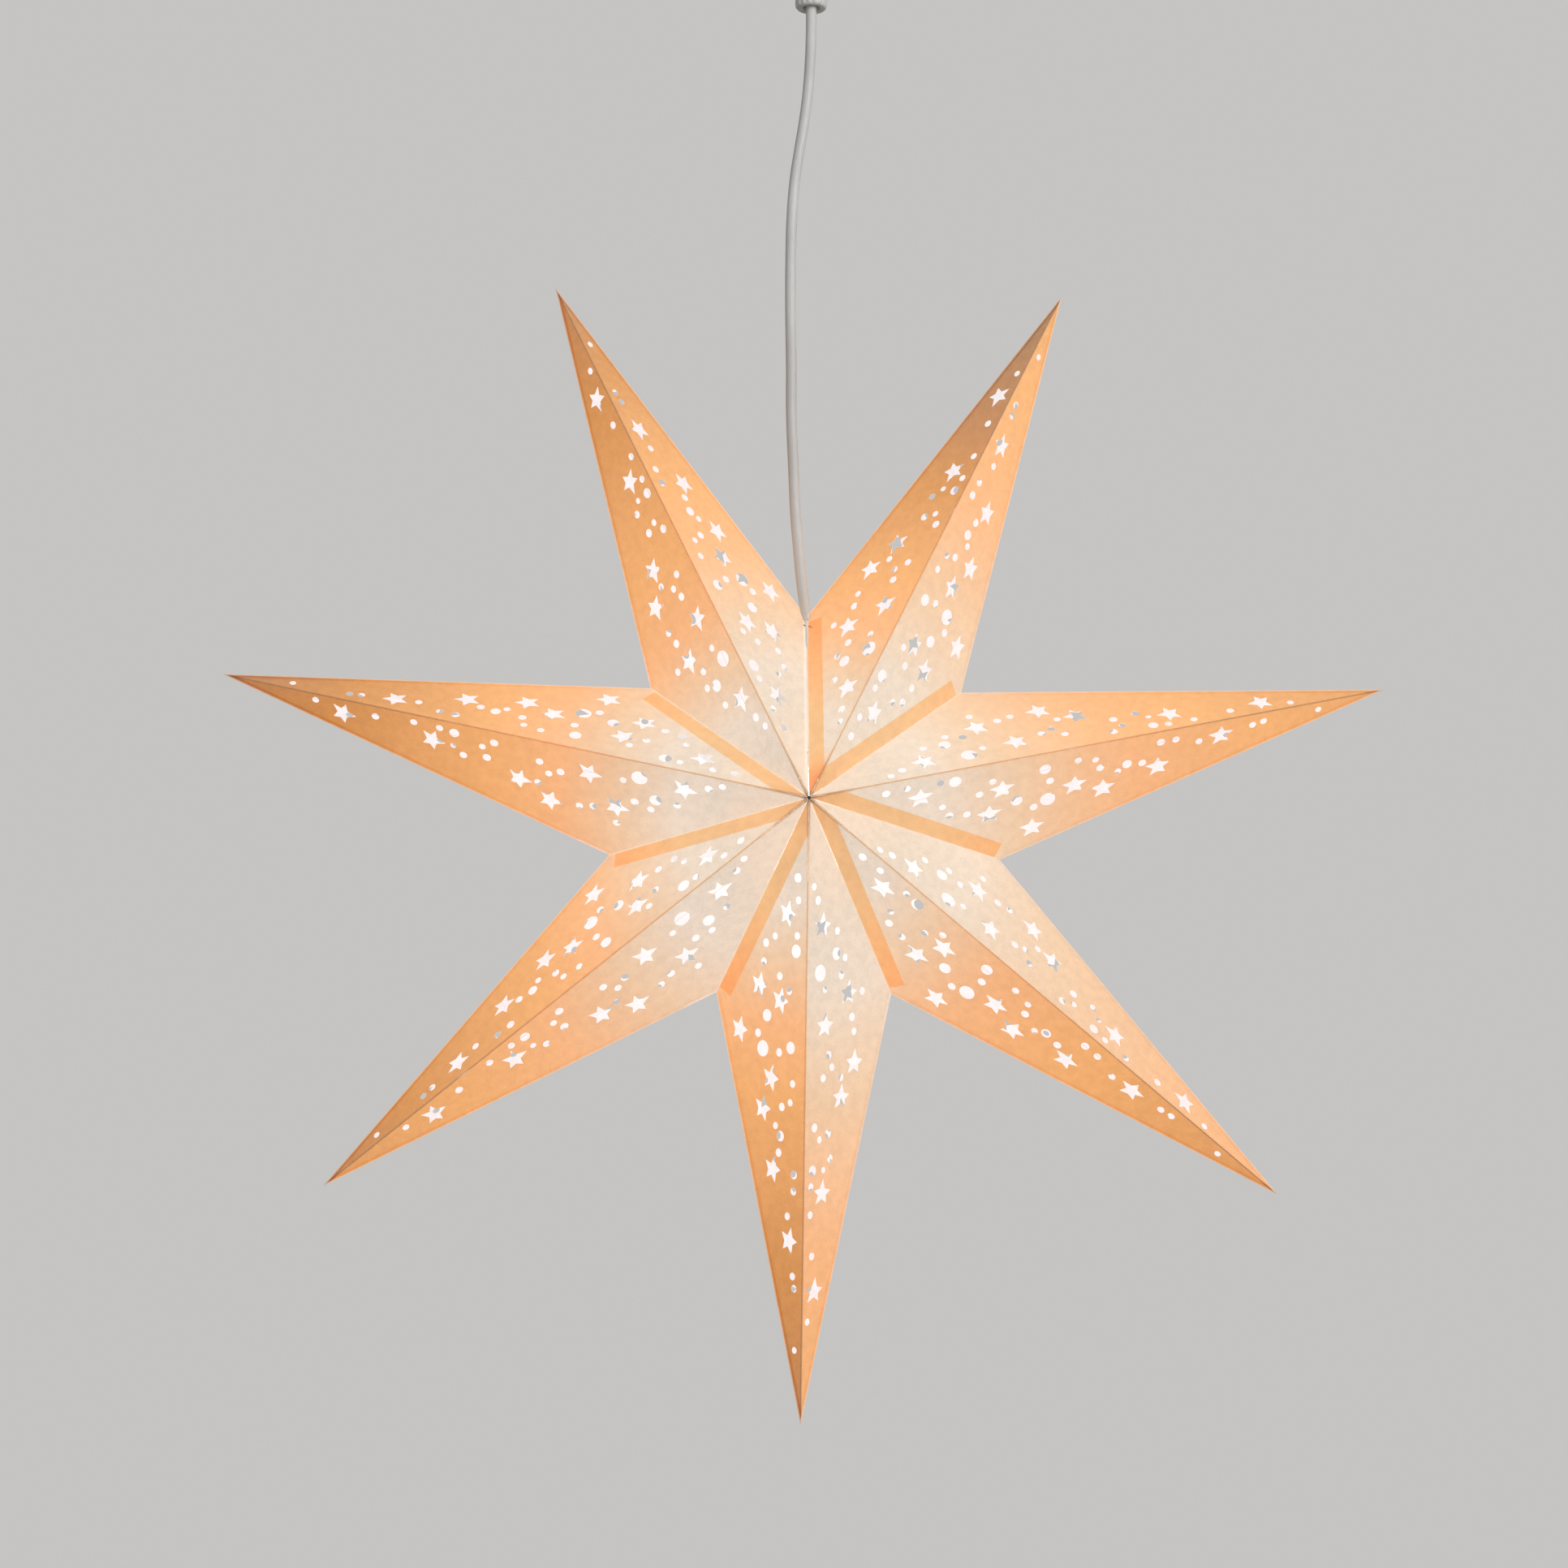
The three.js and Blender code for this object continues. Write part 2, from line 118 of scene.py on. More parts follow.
RIGHT_STARS = [
    (115.4, 42.0), (92.7, 29.7), (56.9, 12.4), (99.5, 16.4),
    (137.8, 21.9), (152.9, 26.8), (182.2, 20.0), (216.0, 8.8),
]
RIGHT_DOTS = [
    (71.8, 25.9, 2.0), (81.1, 27.2, 1.9), (68.2, 20.2, 1.7), (87.6, 17.0, 1.9),
    (107.3, 24.8, 2.9), (116.3, 30.4, 2.0), (123.7, 27.3, 3.8), (124.8, 16.9, 2.0),
    (122.0, 9.6, 2.9), (139.4, 8.0, 1.8), (148.7, 9.4, 1.7), (151.3, 14.7, 2.0),
    (94.5, 10.9, 1.8), (74.8, 6.8, 3.1), (67.3, 6.2, 1.8), (50.0, 5.7, 1.8),
    (39.2, 6.3, 2.0), (160.8, 18.6, 1.7), (165.6, 15.4, 2.5), (173.8, 16.4, 2.0),
    (183.5, 6.4, 2.1), (191.6, 6.5, 1.9), (204.2, 10.1, 1.8), (233.1, 6.3, 1.8),
    (239.0, 5.3, 1.8), (269.0, 4.5, 1.6),
]


def around_turn(count):
    """Evenly spaced angles of one full turn."""
    return [math.tau * i / count for i in range(count)]


def direction(angle):
    return Vector((math.cos(angle), math.sin(angle)))


def star_hole(centre, arms):
    """A punched star: pointed arms with a corner between each two, anticlockwise."""
    arms = sorted((math.radians(a) % math.tau, length) for a, length in arms)
    corners = []
    for i, (angle, length) in enumerate(arms):
        corners.append(Vector(centre) + length * direction(angle))
        following = arms[(i + 1) % len(arms)][0]
        between = angle + ((following - angle) % math.tau) / 2
        corners.append(Vector(centre) + ARM_NOTCH * direction(between))
    return corners


def dot_hole(x, y, radius, sides=16):
    wide, high = DOT_STRETCH
    return [
        Vector((x + wide * radius * math.cos(a), y + high * radius * math.sin(a)))
        for a in around_turn(sides)
    ]


HOLES = {
    "left": [star_hole(c, LEFT_ARMS) for c in LEFT_STARS] + [dot_hole(*d) for d in LEFT_DOTS],
    "right": [star_hole(c, RIGHT_ARMS) for c in RIGHT_STARS] + [dot_hole(*d) for d in RIGHT_DOTS],
}


def inside(p, loop):
    """Whether a flat point is inside a closed loop of corners."""
    found = False
    for a, b in zip(loop, loop[1:] + loop[:1]):
        if (a.y > p.y) != (b.y > p.y) and p.x < a.x + (p.y - a.y) / (b.y - a.y) * (b.x - a.x):
            found = not found
    return found


def border_edges(faces):
    """The edges that only one face has, in that face's direction."""
    sides = {(a, b) for face in faces for a, b in zip(face, face[1:] + face[:1])}
    return sorted((a, b) for a, b in sides if (b, a) not in sides)


def triangulated(outline, holes, spacing=0.0):
    """Corners and triangles of a flat shape with holes.

    With a spacing, it has a grid of extra corners inside.
    """
    corners, edges = [], []
    for loop in [outline, *holes]:
        start = len(corners)
        corners += loop
        edges += [(start + i, start + (i + 1) % len(loop)) for i in range(len(loop))]
    low = [min(p[k] for p in outline) for k in (0, 1)]
    high = [max(p[k] for p in outline) for k in (0, 1)]
    boxes = [
        (min(p.x for p in h), max(p.x for p in h), min(p.y for p in h), max(p.y for p in h), h)
        for h in holes
    ]

    def in_a_hole(p):
        return any(a < p.x < b and c < p.y < d and inside(p, h) for a, b, c, d, h in boxes)

    first_row, row_step, clearance = spacing * 0.15, spacing * 0.8, 0.32 * spacing
    grid, row, y = [], 0, low[1] + first_row
    while spacing and y < high[1]:
        x = low[0] + (spacing / 2 if row % 2 else 0.0)
        while x < high[0]:
            p = Vector((x, y))
            if inside(p, outline) and not in_a_hole(p):
                if min((p - q).length_squared for q in corners) > clearance**2:
                    grid.append(p)
            x += spacing
        y += row_step
        row += 1
    flat, _, faces, *_ = delaunay_2d_cdt(corners + grid, edges, [], 1, 1e-5)
    kept = []
    for face in faces:
        middle = sum((flat[i] for i in face), Vector((0, 0))) / len(face)
        if not in_a_hole(middle):
            kept.append(list(face))
    used = sorted({i for face in kept for i in face})
    index = {old: new for new, old in enumerate(used)}
    return [flat[i] for i in used], [[index[i] for i in face] for face in kept]


def around(radius, angle, y=0.0):
    """A point at an angle clockwise from the top, as seen from the front."""
    return Vector((radius * math.sin(angle), y, HUB_HEIGHT + radius * math.cos(angle)))


LAMP_GLOW = Vector((-10.0, -28.0, HUB_HEIGHT - 3.0))  # where the front's light seems to come from
GLOW_TILT = Vector((0.50, 0.0, -0.36))  # one side of the star is better lit than the other
LIGHT_FLOOR = -4.8  # the log of the weakest light
ANGLE_POWER, DISTANCE_POWER = 1.25, 0.4  # how fast the light falls off with each

# The painted light of each sheet grows a little brighter or dimmer towards its tip.
SHEET_LIGHT_SLOPE = {
    "left": (-0.14, -0.06, 0.05, 0.02, 0.06, 0.09, 0.14),
    "right": (0.05, 0.02, 0.0, -0.05, 0.0, -0.04, -0.06),
}
SEAM_SHADE, SEAM_SHADE_REACH = 0.7, 34.0  # the dark corner beside the seam, at the hub


class Panel:
    """Where one flat panel is: its hub, tip and valley corners, and its outward normal."""

    def __init__(self, point, face, side):
        hub_y = -HALF_DEPTH if face == "front" else HALF_DEPTH
        valley = 2 * point - 2 if side == "left" else 2 * point
        self.hub = around(0, 0, hub_y)
        self.x = (around(TIP_RADIUS, (2 * point - 1) * TURN) - self.hub).normalized()
        corner = around(VALLEY_RADIUS, valley * TURN) - self.hub
        self.y = (corner - self.x * corner.dot(self.x)).normalized()
        self.out = self.x.cross(self.y)
        self.outwards = self.out.y * hub_y > 0
        if not self.outwards:
            self.out.negate()
        # Each panel has a place of its own in the noise.
        self.seed = Vector(
            (point * 3.7, 0.0 if face == "front" else 9.1, 0.0 if side == "left" else 5.3)
        )
        self.lamp = LAMP_GLOW.copy()
        if face == "back":
            self.lamp.y *= -1
        self.light_slope = SHEET_LIGHT_SLOPE[side][point - 1]
        self.shaded = point == 1 and side == "left"

    def swell(self, p):
        """How far the paper bows out of its plane.

        It is nothing at the creases, and stays clear of the next sheet when the star is folded.
        """
        v = p.y / FLAT_VALLEY.y
        t = (p.x - v * FLAT_VALLEY.x) / RIDGE
        rest = 1 - v - t
        if min(v, t, rest) <= 0:
            return 0.0
        shape = 27 * v * t * rest  # 1 in the panel's middle
        slow = field.noise(self.seed + Vector((p.x, p.y, 0)) / SLOW_WAVE)
        fine = field.noise(self.seed * 2 + Vector((p.x, p.y, 0)) / FINE_WAVE)
        bow = shape * (SLOW_BOW * slow - SINK) + shape**0.5 * FINE_BOW * fine
        off_valley = abs(p.cross(VALLEY_ALONG))
        limit = max(1e-4, BOW_LIMIT_INWARD * p.y if bow < 0 else BOW_LIMIT_OUTWARD * off_valley)
        return limit * math.tanh(bow / limit)

    def at(self, p, depth):
        """Where a flat point is in the star, that far under the panel's outer skin."""
        return self.hub + self.x * p.x + self.y * p.y + self.out * (self.swell(p) - depth)

    def light(self, p):
        """How strongly the lamp lights the panel at a flat point, from 0 to 1 on a log scale."""
        place = self.hub + self.x * p.x + self.y * p.y
        to_lamp = place - self.lamp
        facing = abs(to_lamp.dot(self.out)) / to_lamp.length
        strength = ANGLE_POWER * math.log(facing) - DISTANCE_POWER * math.log(to_lamp.length / 100)
        strength += GLOW_TILT.dot(place - around(0, 0)) / TIP_RADIUS
        light = 1 - strength / LIGHT_FLOOR + self.light_slope * p.x / RIDGE
        if self.shaded:
            light -= SEAM_SHADE * max(0.0, 1 - p.length / SEAM_SHADE_REACH)
        return min(1.0, max(0.0, light))


def sheet_depth(p):
    """A panel's sheet has its outer skin in the panel's plane."""
    return 0.0


def sheet_skin(p):
    """The sheet's thickness. It thins towards the ridge and the rim, to fold shut on itself."""
    to_rim = abs((p - FLAT_TIP).cross(RIM_ALONG))
    return max(THINNEST, min(PAPER, RIDGE_TAPER * p.y, RIM_TAPER * to_rim))


def flap_depth(p):
    """A glue flap lies just inside the sheet that it is glued to."""
    return sheet_skin(p) + max(FLAP_GAP_LEAST, min(FLAP_GAP, FLAP_GAP_TAPER * p.y))


def flap_skin(p):
    return max(THINNEST, min(PAPER, RIDGE_TAPER * p.y))


def flat_attribute(mesh, name, values):
    mesh.attributes.new(name, "FLOAT", "POINT").data.foreach_set("value", values)


def linked(name, data):
    obj = bpy.data.objects.new(name, data)
    bpy.context.collection.objects.link(obj)
    return obj


def bevelled(p):
    """Keeps the inner skin off the ridge, so that the two sides of a point can fold together."""
    return Vector((p.x, max(p.y, min(CREASE_BEVEL, BEVEL_TAPER * (RIDGE - p.x)))))


def sheet_mesh(name, panel, flat, faces, depth, skin, over_flap=0.0):
    """A closed sheet of paper in a panel's plane: outer skin, inner skin and cut edges."""

    def inner_depth(p):
        return depth(p) + skin(p) / (2 if p.y < CREASE_BEVEL else 1)

    if not panel.outwards:
        faces = [face[::-1] for face in faces]
    n = len(flat)
    border = border_edges(faces)
    verts = [panel.at(p, depth(p)) * MM for p in flat]
    verts += [panel.at(bevelled(p), inner_depth(p)) * MM for p in flat]
    polygons = faces + [[i + n for i in face[::-1]] for face in faces]
    polygons += [[b, a, a + n, b + n] for a, b in border]
    mesh = bpy.data.meshes.new(name)
    mesh.from_pydata(verts, [], polygons)
    mesh.polygons.foreach_set("use_smooth", [i < 2 * len(faces) for i in range(len(polygons))])
    border_set = set(border) | {(b, a) for a, b in border}
    for edge in mesh.edges:
        a, b = edge.vertices
        edge.use_edge_sharp = a % n == b % n or (a % n, b % n) in border_set
    uv = mesh.uv_layers.new(name="flat")
    for loop in mesh.loops:
        uv.data[loop.index].uv = flat[loop.vertex_index % n] * MM
    light = [panel.light(p) for p in flat]
    flat_attribute(mesh, "light", light + light)
    flat_attribute(mesh, "outer", [1.0] * n + [0.0] * n)
    flat_attribute(mesh, "over_flap", [over_flap] * (2 * n))
    return linked(name, mesh)


def towards(a, b, distance):
    return a + (b - a).normalized() * distance


def panel_outline(at_seam, cut_back):
    """The panel's edge, anticlockwise from the hub. at_seam is None, "flap" or "gap"."""
    off_valley = VALLEY_INWARD * CREASE_GAP
    outline = [Vector((HUB_CUT, CREASE_GAP)), FLAT_TIP + Vector((-TIP_CUT, CREASE_GAP))]
    if at_seam == "gap":
        outline.append(towards(FLAT_VALLEY, FLAT_TIP, SLOT_CORNER))
        outline += [VALLEY_ALONG * along + VALLEY_INWARD * off for along, off in SLOT_EDGE]
        return outline
    if at_seam == "flap":
        outline.append(towards(FLAT_VALLEY, FLAT_TIP, FOLDED_CORNER))
        outline.append(VALLEY_ALONG * (VALLEY - FOLDED_END) + off_valley)
    elif cut_back:
        step = towards(FLAT_VALLEY, FLAT_TIP, RIM_CUT_LENGTH)
        outline += [step, step + RIM_INWARD * RIM_CUT + RIM_ALONG * RIM_CUT_SLANT]
        cut_corner = VALLEY - RIM_CUT / abs(VALLEY_ALONG.cross(RIM_ALONG))
        outline.append(VALLEY_ALONG * cut_corner + off_valley)
    else:
        outline.append(FLAT_VALLEY + off_valley + RIM_INWARD * CREASE_GAP)
    outline.append(VALLEY_ALONG * HUB_CUT + off_valley)
    return outline


def densified(outline, step=9.0):
    """The outline with extra corners, so that its long edges can follow the bowed paper."""
    dense = []
    for a, b in zip(outline, outline[1:] + outline[:1]):
        parts = max(1, round((b - a).length / step))
        dense += [a.lerp(b, i / parts) for i in range(parts)]
    return dense


def flap_outline():
    """The strip along the valley, cut by the ridge near the hub and square near the valley."""
    near, far = VALLEY_INWARD * FLAP_OFF_VALLEY, VALLEY_INWARD * FLAP_WIDTH
    end = VALLEY - FLAP_END

    def meets_ridge(offset):
        return (FLAP_OFF_RIDGE - offset.y) / VALLEY_ALONG.y

    return [
        near + VALLEY_ALONG * meets_ridge(near),
        far + VALLEY_ALONG * meets_ridge(far),
        far + VALLEY_ALONG * (end - FLAP_SLANT),
        near + VALLEY_ALONG * end,
    ]


# ---- Materials ----


def new_material(name):
    material = bpy.data.materials.new(name)
    material.use_nodes = True
    tree = material.node_tree
    tree.nodes.clear()
    return material, tree, tree.nodes.new("ShaderNodeOutputMaterial")


def node(tree, kind, inputs=None, **settings):
    """A node of that kind. An input is a value or another node's output socket."""
    made = tree.nodes.new(kind)
    for key, value in settings.items():
        setattr(made, key, value)
    for key, value in (inputs or {}).items():
        if isinstance(value, bpy.types.NodeSocket):
            tree.links.new(value, made.inputs[key])
        else:
            made.inputs[key].default_value = value
    return made


def maths(tree, operation, a, b=0.0, clamp=False):
    settings = {"operation": operation, "use_clamp": clamp}
    return node(tree, "ShaderNodeMath", {0: a, 1: b}, **settings).outputs[0]


def times(tree, a, b, clamp=False):
    return maths(tree, "MULTIPLY", a, b, clamp)


def ramp(tree, factor, low, high, to_low=0.0, to_high=1.0):
    """Goes smoothly from to_low to to_high while the factor goes from low to high."""
    return node(
        tree,
        "ShaderNodeMapRange",
        {"Value": factor, "From Min": low, "From Max": high, "To Min": to_low, "To Max": to_high},
        interpolation_type="SMOOTHSTEP",
    ).outputs[0]


def mix(tree, factor, a, b, blend="MIX"):
    made = node(tree, "ShaderNodeMix", data_type="RGBA", blend_type=blend)
    for index, value in ((0, factor), (6, a), (7, b)):
        if isinstance(value, bpy.types.NodeSocket):
            tree.links.new(value, made.inputs[index])
        else:
            made.inputs[index].default_value = value if index == 0 else (*value[:3], 1.0)
    return made.outputs[2]


def tinted(tree, where, colour, tint):
    """The colour, multiplied by the tint where the mask says so."""
    return mix(tree, where, colour, mix(tree, 1.0, colour, tint, "MULTIPLY"))


def grey(tree, value):
    return node(tree, "ShaderNodeCombineColor", {0: value, 1: value, 2: value}).outputs[0]


def noise_texture(tree, coords, scale, detail, roughness=0.5, distortion=0.0):
    inputs = {
        "Vector": coords, "Scale": scale, "Detail": detail,
        "Roughness": roughness, "Distortion": distortion,
    }
    return node(tree, "ShaderNodeTexNoise", inputs).outputs[0]


def attribute(tree, name):
    return node(tree, "ShaderNodeAttribute", attribute_name=name).outputs["Fac"]


def bumped(tree, height, strength, distance):
    inputs = {"Height": height, "Strength": strength, "Distance": distance}
    return node(tree, "ShaderNodeBump", inputs).outputs[0]


def principled(tree, inputs):
    return node(tree, "ShaderNodeBsdfPrincipled", inputs).outputs[0]


# The colour of the lit paper from its dimmest to its brightest: [share of the light, colour].
LIT_PAPER = [
    (0.02, (0.170, 0.040, 0.010)),
    (0.12, (0.334, 0.085, 0.016)),
    (0.20, (0.507, 0.159, 0.014)),
    (0.28, (0.652, 0.252, 0.068)),
    (0.36, (0.760, 0.321, 0.100)),
    (0.46, (0.812, 0.370, 0.170)),
    (0.58, (0.710, 0.495, 0.353)),
    (0.72, (0.662, 0.608, 0.560)),
    (0.86, (0.608, 0.572, 0.533)),
    (0.97, (0.661, 0.585, 0.529)),
]

# What these do to the light that comes through.
DOUBLE_LAYER = (1.12, 0.66, 0.33)
# Painted shade on the glue flap's band near the hub.
BAND_SHADE_AT_HUB = (0.62, 0.36, 0.20)
# Painted shade along the ridge crease, darker towards the tip.
RIDGE_SHADE, RIDGE_SHADE_AT_TIP = (0.80, 0.50, 0.30), (0.40, 0.30, 0.24)
# Painted shade on the ridge near the hub.
RIDGE_SHADE_AT_HUB = (0.34, 0.20, 0.13)

# Colours of the light at some places, and of the paper itself.
# Painted light: a pale lit strip beside the open seam.
LIT_SEAM_STRIP = (0.74, 0.71, 0.68)
# Painted light along the cut edges at the rim and the valley.
EDGE_GLOW = (0.74, 0.64, 0.54)
# Painted pale glow of the star's inside, on the sheets' inner skin.
INSIDE_GLOW = (0.86, 0.87, 0.91)
# Painted dark shade on the paper round the hub.
HUB_SHADE = (0.05, 0.025, 0.012)
OUTER_PAPER, INNER_PAPER = (0.34, 0.27, 0.165), (0.20, 0.20, 0.20)
THROUGH_PAPER = (0.95, 0.62, 0.32)
SHARE_THROUGH = 0.18  # of the studio's light


def paper_material(name, glow, layers=1.0):
    """Thin fibrous paper, lit from inside by a glow painted into its emission: warm where little
    light comes through, pale elsewhere.

    Its masks are drawn by distances in metres from the panel's creases and its hub.
    """
    material, tree, output = new_material(name)
    uv = node(tree, "ShaderNodeUVMap", uv_map="flat").outputs[0]
    info = node(tree, "ShaderNodeObjectInfo").outputs["Random"]
    shift = node(tree, "ShaderNodeCombineXYZ", {0: info, 1: info, 2: info}).outputs[0]
    coords = node(tree, "ShaderNodeVectorMath", {0: uv, 1: shift}, operation="ADD").outputs[0]
    split = node(tree, "ShaderNodeSeparateXYZ", {0: uv})
    x, y = split.outputs[0], split.outputs[1]
    cloud = noise_texture(tree, coords, 220.0, 5.0, 0.62)
    fibre = noise_texture(tree, coords, 1500.0, 3.0, 0.7, 1.2)
    patches = noise_texture(tree, coords, 18.0, 2.0)

    sin_hub, cos_hub = math.sin(HUB_ANGLE), math.cos(HUB_ANGLE)
    to_valley = maths(tree, "SUBTRACT", times(tree, x, sin_hub), times(tree, y, cos_hub))
    along_valley = maths(tree, "ADD", times(tree, x, cos_hub), times(tree, y, sin_hub))
    to_tip = maths(tree, "SUBTRACT", RIDGE * MM, x)
    to_rim = maths(
        tree,
        "SUBTRACT",
        times(tree, to_tip, abs(RIM_ALONG.y)),
        times(tree, y, abs(RIM_ALONG.x)),
    )
    from_hub = maths(
        tree, "SQRT", maths(tree, "ADD", times(tree, x, x), times(tree, y, y))
    )

    at_edge = attribute(tree, "over_flap")  # 1 over a glue flap, -1 beside the open seam
    over_flap = times(tree, at_edge, 1.0, clamp=True)
    by_seam = times(tree, at_edge, -1.0, clamp=True)
    on_ridge = ramp(tree, y, 0.0002, 0.0008, 1.0, 0.0)
    by_valley = times(
        tree,
        ramp(tree, to_valley, 0.0001, 0.0008, 0.7, 0.0),
        ramp(tree, from_hub, 0.006, 0.040),
    )
    on_rim = ramp(tree, to_rim, 0.0003, 0.0011, 0.55, 0.0)
    by_rim = ramp(tree, to_rim, 0.0016, 0.0030, 1.0, 0.0)
    # Painted shade on the glue flap's band near the hub.
    band_shade_near_hub = times(tree, ramp(tree, from_hub, 0.001, 0.026, 0.4, 0.0), over_flap)
    # Painted dark shade on the paper round the hub.
    hub_shade_mask = ramp(tree, from_hub, 0.0012, 0.0045, 0.85, 0.0)
    # Painted shade on the ridge near the hub.
    ridge_shade_near_hub = times(
        tree,
        ramp(tree, y, 0.0002, 0.0016, 1.0, 0.0),
        ramp(tree, from_hub, 0.004, 0.034, 0.8, 0.0),
    )
    # Painted light: a pale lit strip beside the open seam.
    lit_seam_strip = times(tree, ramp(tree, to_valley, 0.0019, 0.0025, 0.9, 0.0), by_seam)
    lit_seam_strip = times(tree, lit_seam_strip, ramp(tree, from_hub, 0.004, 0.016))
    grain = maths(
        tree,
        "ADD",
        times(tree, ramp(tree, cloud, 0.3, 0.7), 0.08),
        times(tree, ramp(tree, fibre, 0.32, 0.68), 0.10),
    )
    mottled = times(
        tree,
        maths(tree, "ADD", grain, 0.905),
        ramp(tree, patches, 0.3, 0.7, 0.985, 1.015),
    )
    mottled = grey(tree, mottled)

    # Under a glue flap the light comes through two layers.
    flap_end = (VALLEY - FLAP_END) * MM
    band = times(
        tree,
        ramp(tree, to_valley, (FLAP_WIDTH - 0.25) * MM, (FLAP_WIDTH + 0.05) * MM, 1.0, 0.0),
        ramp(tree, along_valley, (VALLEY - FLAP_END - 0.4) * MM, flap_end, 1.0, 0.0),
    )
    band = times(tree, band, over_flap)

    lit = node(tree, "ShaderNodeValToRGB", {0: attribute(tree, "light")})
    elements = lit.color_ramp.elements
    while len(elements) < len(LIT_PAPER):
        elements.new(0.5)
    for element, (place, colour) in zip(elements, LIT_PAPER):
        element.position = place
        element.color = (*colour, 1)
    # Painted shade along the ridge crease, darker towards the tip.
    ridge_shade = mix(tree, ramp(tree, x, 0.10, 0.25), RIDGE_SHADE, RIDGE_SHADE_AT_TIP)
    outside = tinted(tree, band, lit.outputs[0], DOUBLE_LAYER)
    outside = tinted(tree, band_shade_near_hub, outside, BAND_SHADE_AT_HUB)
    outside = tinted(tree, on_ridge, outside, ridge_shade)
    outside = tinted(tree, ridge_shade_near_hub, outside, RIDGE_SHADE_AT_HUB)
    outside = mix(tree, lit_seam_strip, outside, LIT_SEAM_STRIP)
    # Painted light along the cut edges at the rim and the valley.
    outside = mix(tree, maths(tree, "MAXIMUM", on_rim, by_valley), outside, EDGE_GLOW)
    # The inner skin glows with painted light, except near the rim.
    outer = maths(tree, "MAXIMUM", attribute(tree, "outer"), by_rim)
    light = mix(tree, outer, INSIDE_GLOW, outside)
    light = mix(tree, hub_shade_mask, light, HUB_SHADE)
    light = mix(tree, 1.0, light, mottled, "MULTIPLY")

    surface = mix(tree, attribute(tree, "outer"), INNER_PAPER, OUTER_PAPER)
    surface = mix(tree, 1.0, surface, mottled, "MULTIPLY")
    through = mix(tree, 1.0, [c * layers for c in THROUGH_PAPER], mottled, "MULTIPLY")
    bump = bumped(tree, maths(tree, "ADD", fibre, cloud), 0.25, 0.0002)
    face = principled(
        tree,
        {
            "Base Color": surface,
            "Roughness": 0.82,
            "Specular IOR Level": 0.2,
            "Normal": bump,
            "Emission Color": light,
            "Emission Strength": glow,
        },
    )
    scatter = node(tree, "ShaderNodeBsdfTranslucent", {"Color": through, "Normal": bump}).outputs[0]
    mixed = node(tree, "ShaderNodeMixShader", {0: SHARE_THROUGH, 1: face, 2: scatter}).outputs[0]
    tree.links.new(mixed, output.inputs["Surface"])
    return material


def plastic_material(name, colour, roughness, speckle=0.03, grain=900.0):
    """Moulded plastic with a faint sparked texture and small colour and gloss changes."""
    material, tree, output = new_material(name)
    coords = node(tree, "ShaderNodeTexCoord").outputs["Object"]
    fine = noise_texture(tree, coords, grain, 3.0)
    slow = noise_texture(tree, coords, 24.0, 4.0)
    base = mix(tree, ramp(tree, slow, 0.3, 0.7), [c * (1 - 3 * speckle) for c in colour], colour)
    rough = ramp(tree, fine, 0.2, 0.8, roughness - 0.06, roughness + 0.08)
    bump = bumped(tree, fine, 0.5, 0.00006)
    shader = principled(tree, {"Base Color": base, "Roughness": rough, "Normal": bump})
    tree.links.new(shader, output.inputs["Surface"])
    return material


def metal_material(name, colour, roughness, streaks):
    """Drawn or rolled metal: streaks in its gloss, stretched as told, and a little tarnish."""
    material, tree, output = new_material(name)
    coords = node(tree, "ShaderNodeTexCoord").outputs["Object"]
    stretched = node(tree, "ShaderNodeMapping", {"Vector": coords, "Scale": streaks}).outputs[0]
    fine = noise_texture(tree, stretched, 6.0, 4.0)
    slow = noise_texture(tree, coords, 60.0, 3.0)
    base = mix(tree, ramp(tree, slow, 0.35, 0.75), colour, [c * 0.78 for c in colour])
    rough = ramp(tree, fine, 0.25, 0.75, roughness - 0.08, roughness + 0.12)
    bump = bumped(tree, fine, 0.2, 0.00004)
    shader = principled(
        tree, {"Base Color": base, "Metallic": 1.0, "Roughness": rough, "Normal": bump}
    )
    tree.links.new(shader, output.inputs["Surface"])
    return material


def opal_material(name, colour, edge_colour, strength):
    """Opal glass, lit from inside, with a faint unevenness in its coating."""
    material, tree, output = new_material(name)
    coords = node(tree, "ShaderNodeTexCoord").outputs["Object"]
    slow = noise_texture(tree, coords, 40.0, 2.0)
    tint = mix(tree, ramp(tree, slow, 0.3, 0.7), edge_colour, colour)
    shader = principled(
        tree,
        {
            "Base Color": tint,
            "Roughness": 0.18,
            "Emission Color": tint,
            "Emission Strength": strength,
        },
    )
    tree.links.new(shader, output.inputs["Surface"])
    return material


paper = paper_material("paper", glow=1.0)
flap_paper = paper_material("flap_paper", glow=0.8, layers=0.86)
holder_plastic = plastic_material("holder_plastic", (0.78, 0.77, 0.74), 0.42)
cup_plastic = plastic_material("cup_plastic", (0.80, 0.80, 0.78), 0.38)
block_plastic = plastic_material("terminal_plastic", (0.74, 0.73, 0.68), 0.5)
cord_pvc = plastic_material("cord_jacket", (0.80, 0.80, 0.79), 0.45, speckle=0.04, grain=1600.0)
wire_lacquer = plastic_material(
    "wire_lacquer", (0.94, 0.93, 0.91), 0.38, speckle=0.02, grain=1400.0
)
plate_steel = metal_material("plate_steel", (0.62, 0.63, 0.65), 0.38, streaks=(900.0, 40.0, 40.0))
nickel = metal_material("nickel", (0.72, 0.70, 0.66), 0.22, streaks=(300.0, 300.0, 40.0))
hub_thread = plastic_material("hub_thread", (0.16, 0.09, 0.05), 0.7, speckle=0.12, grain=2600.0)
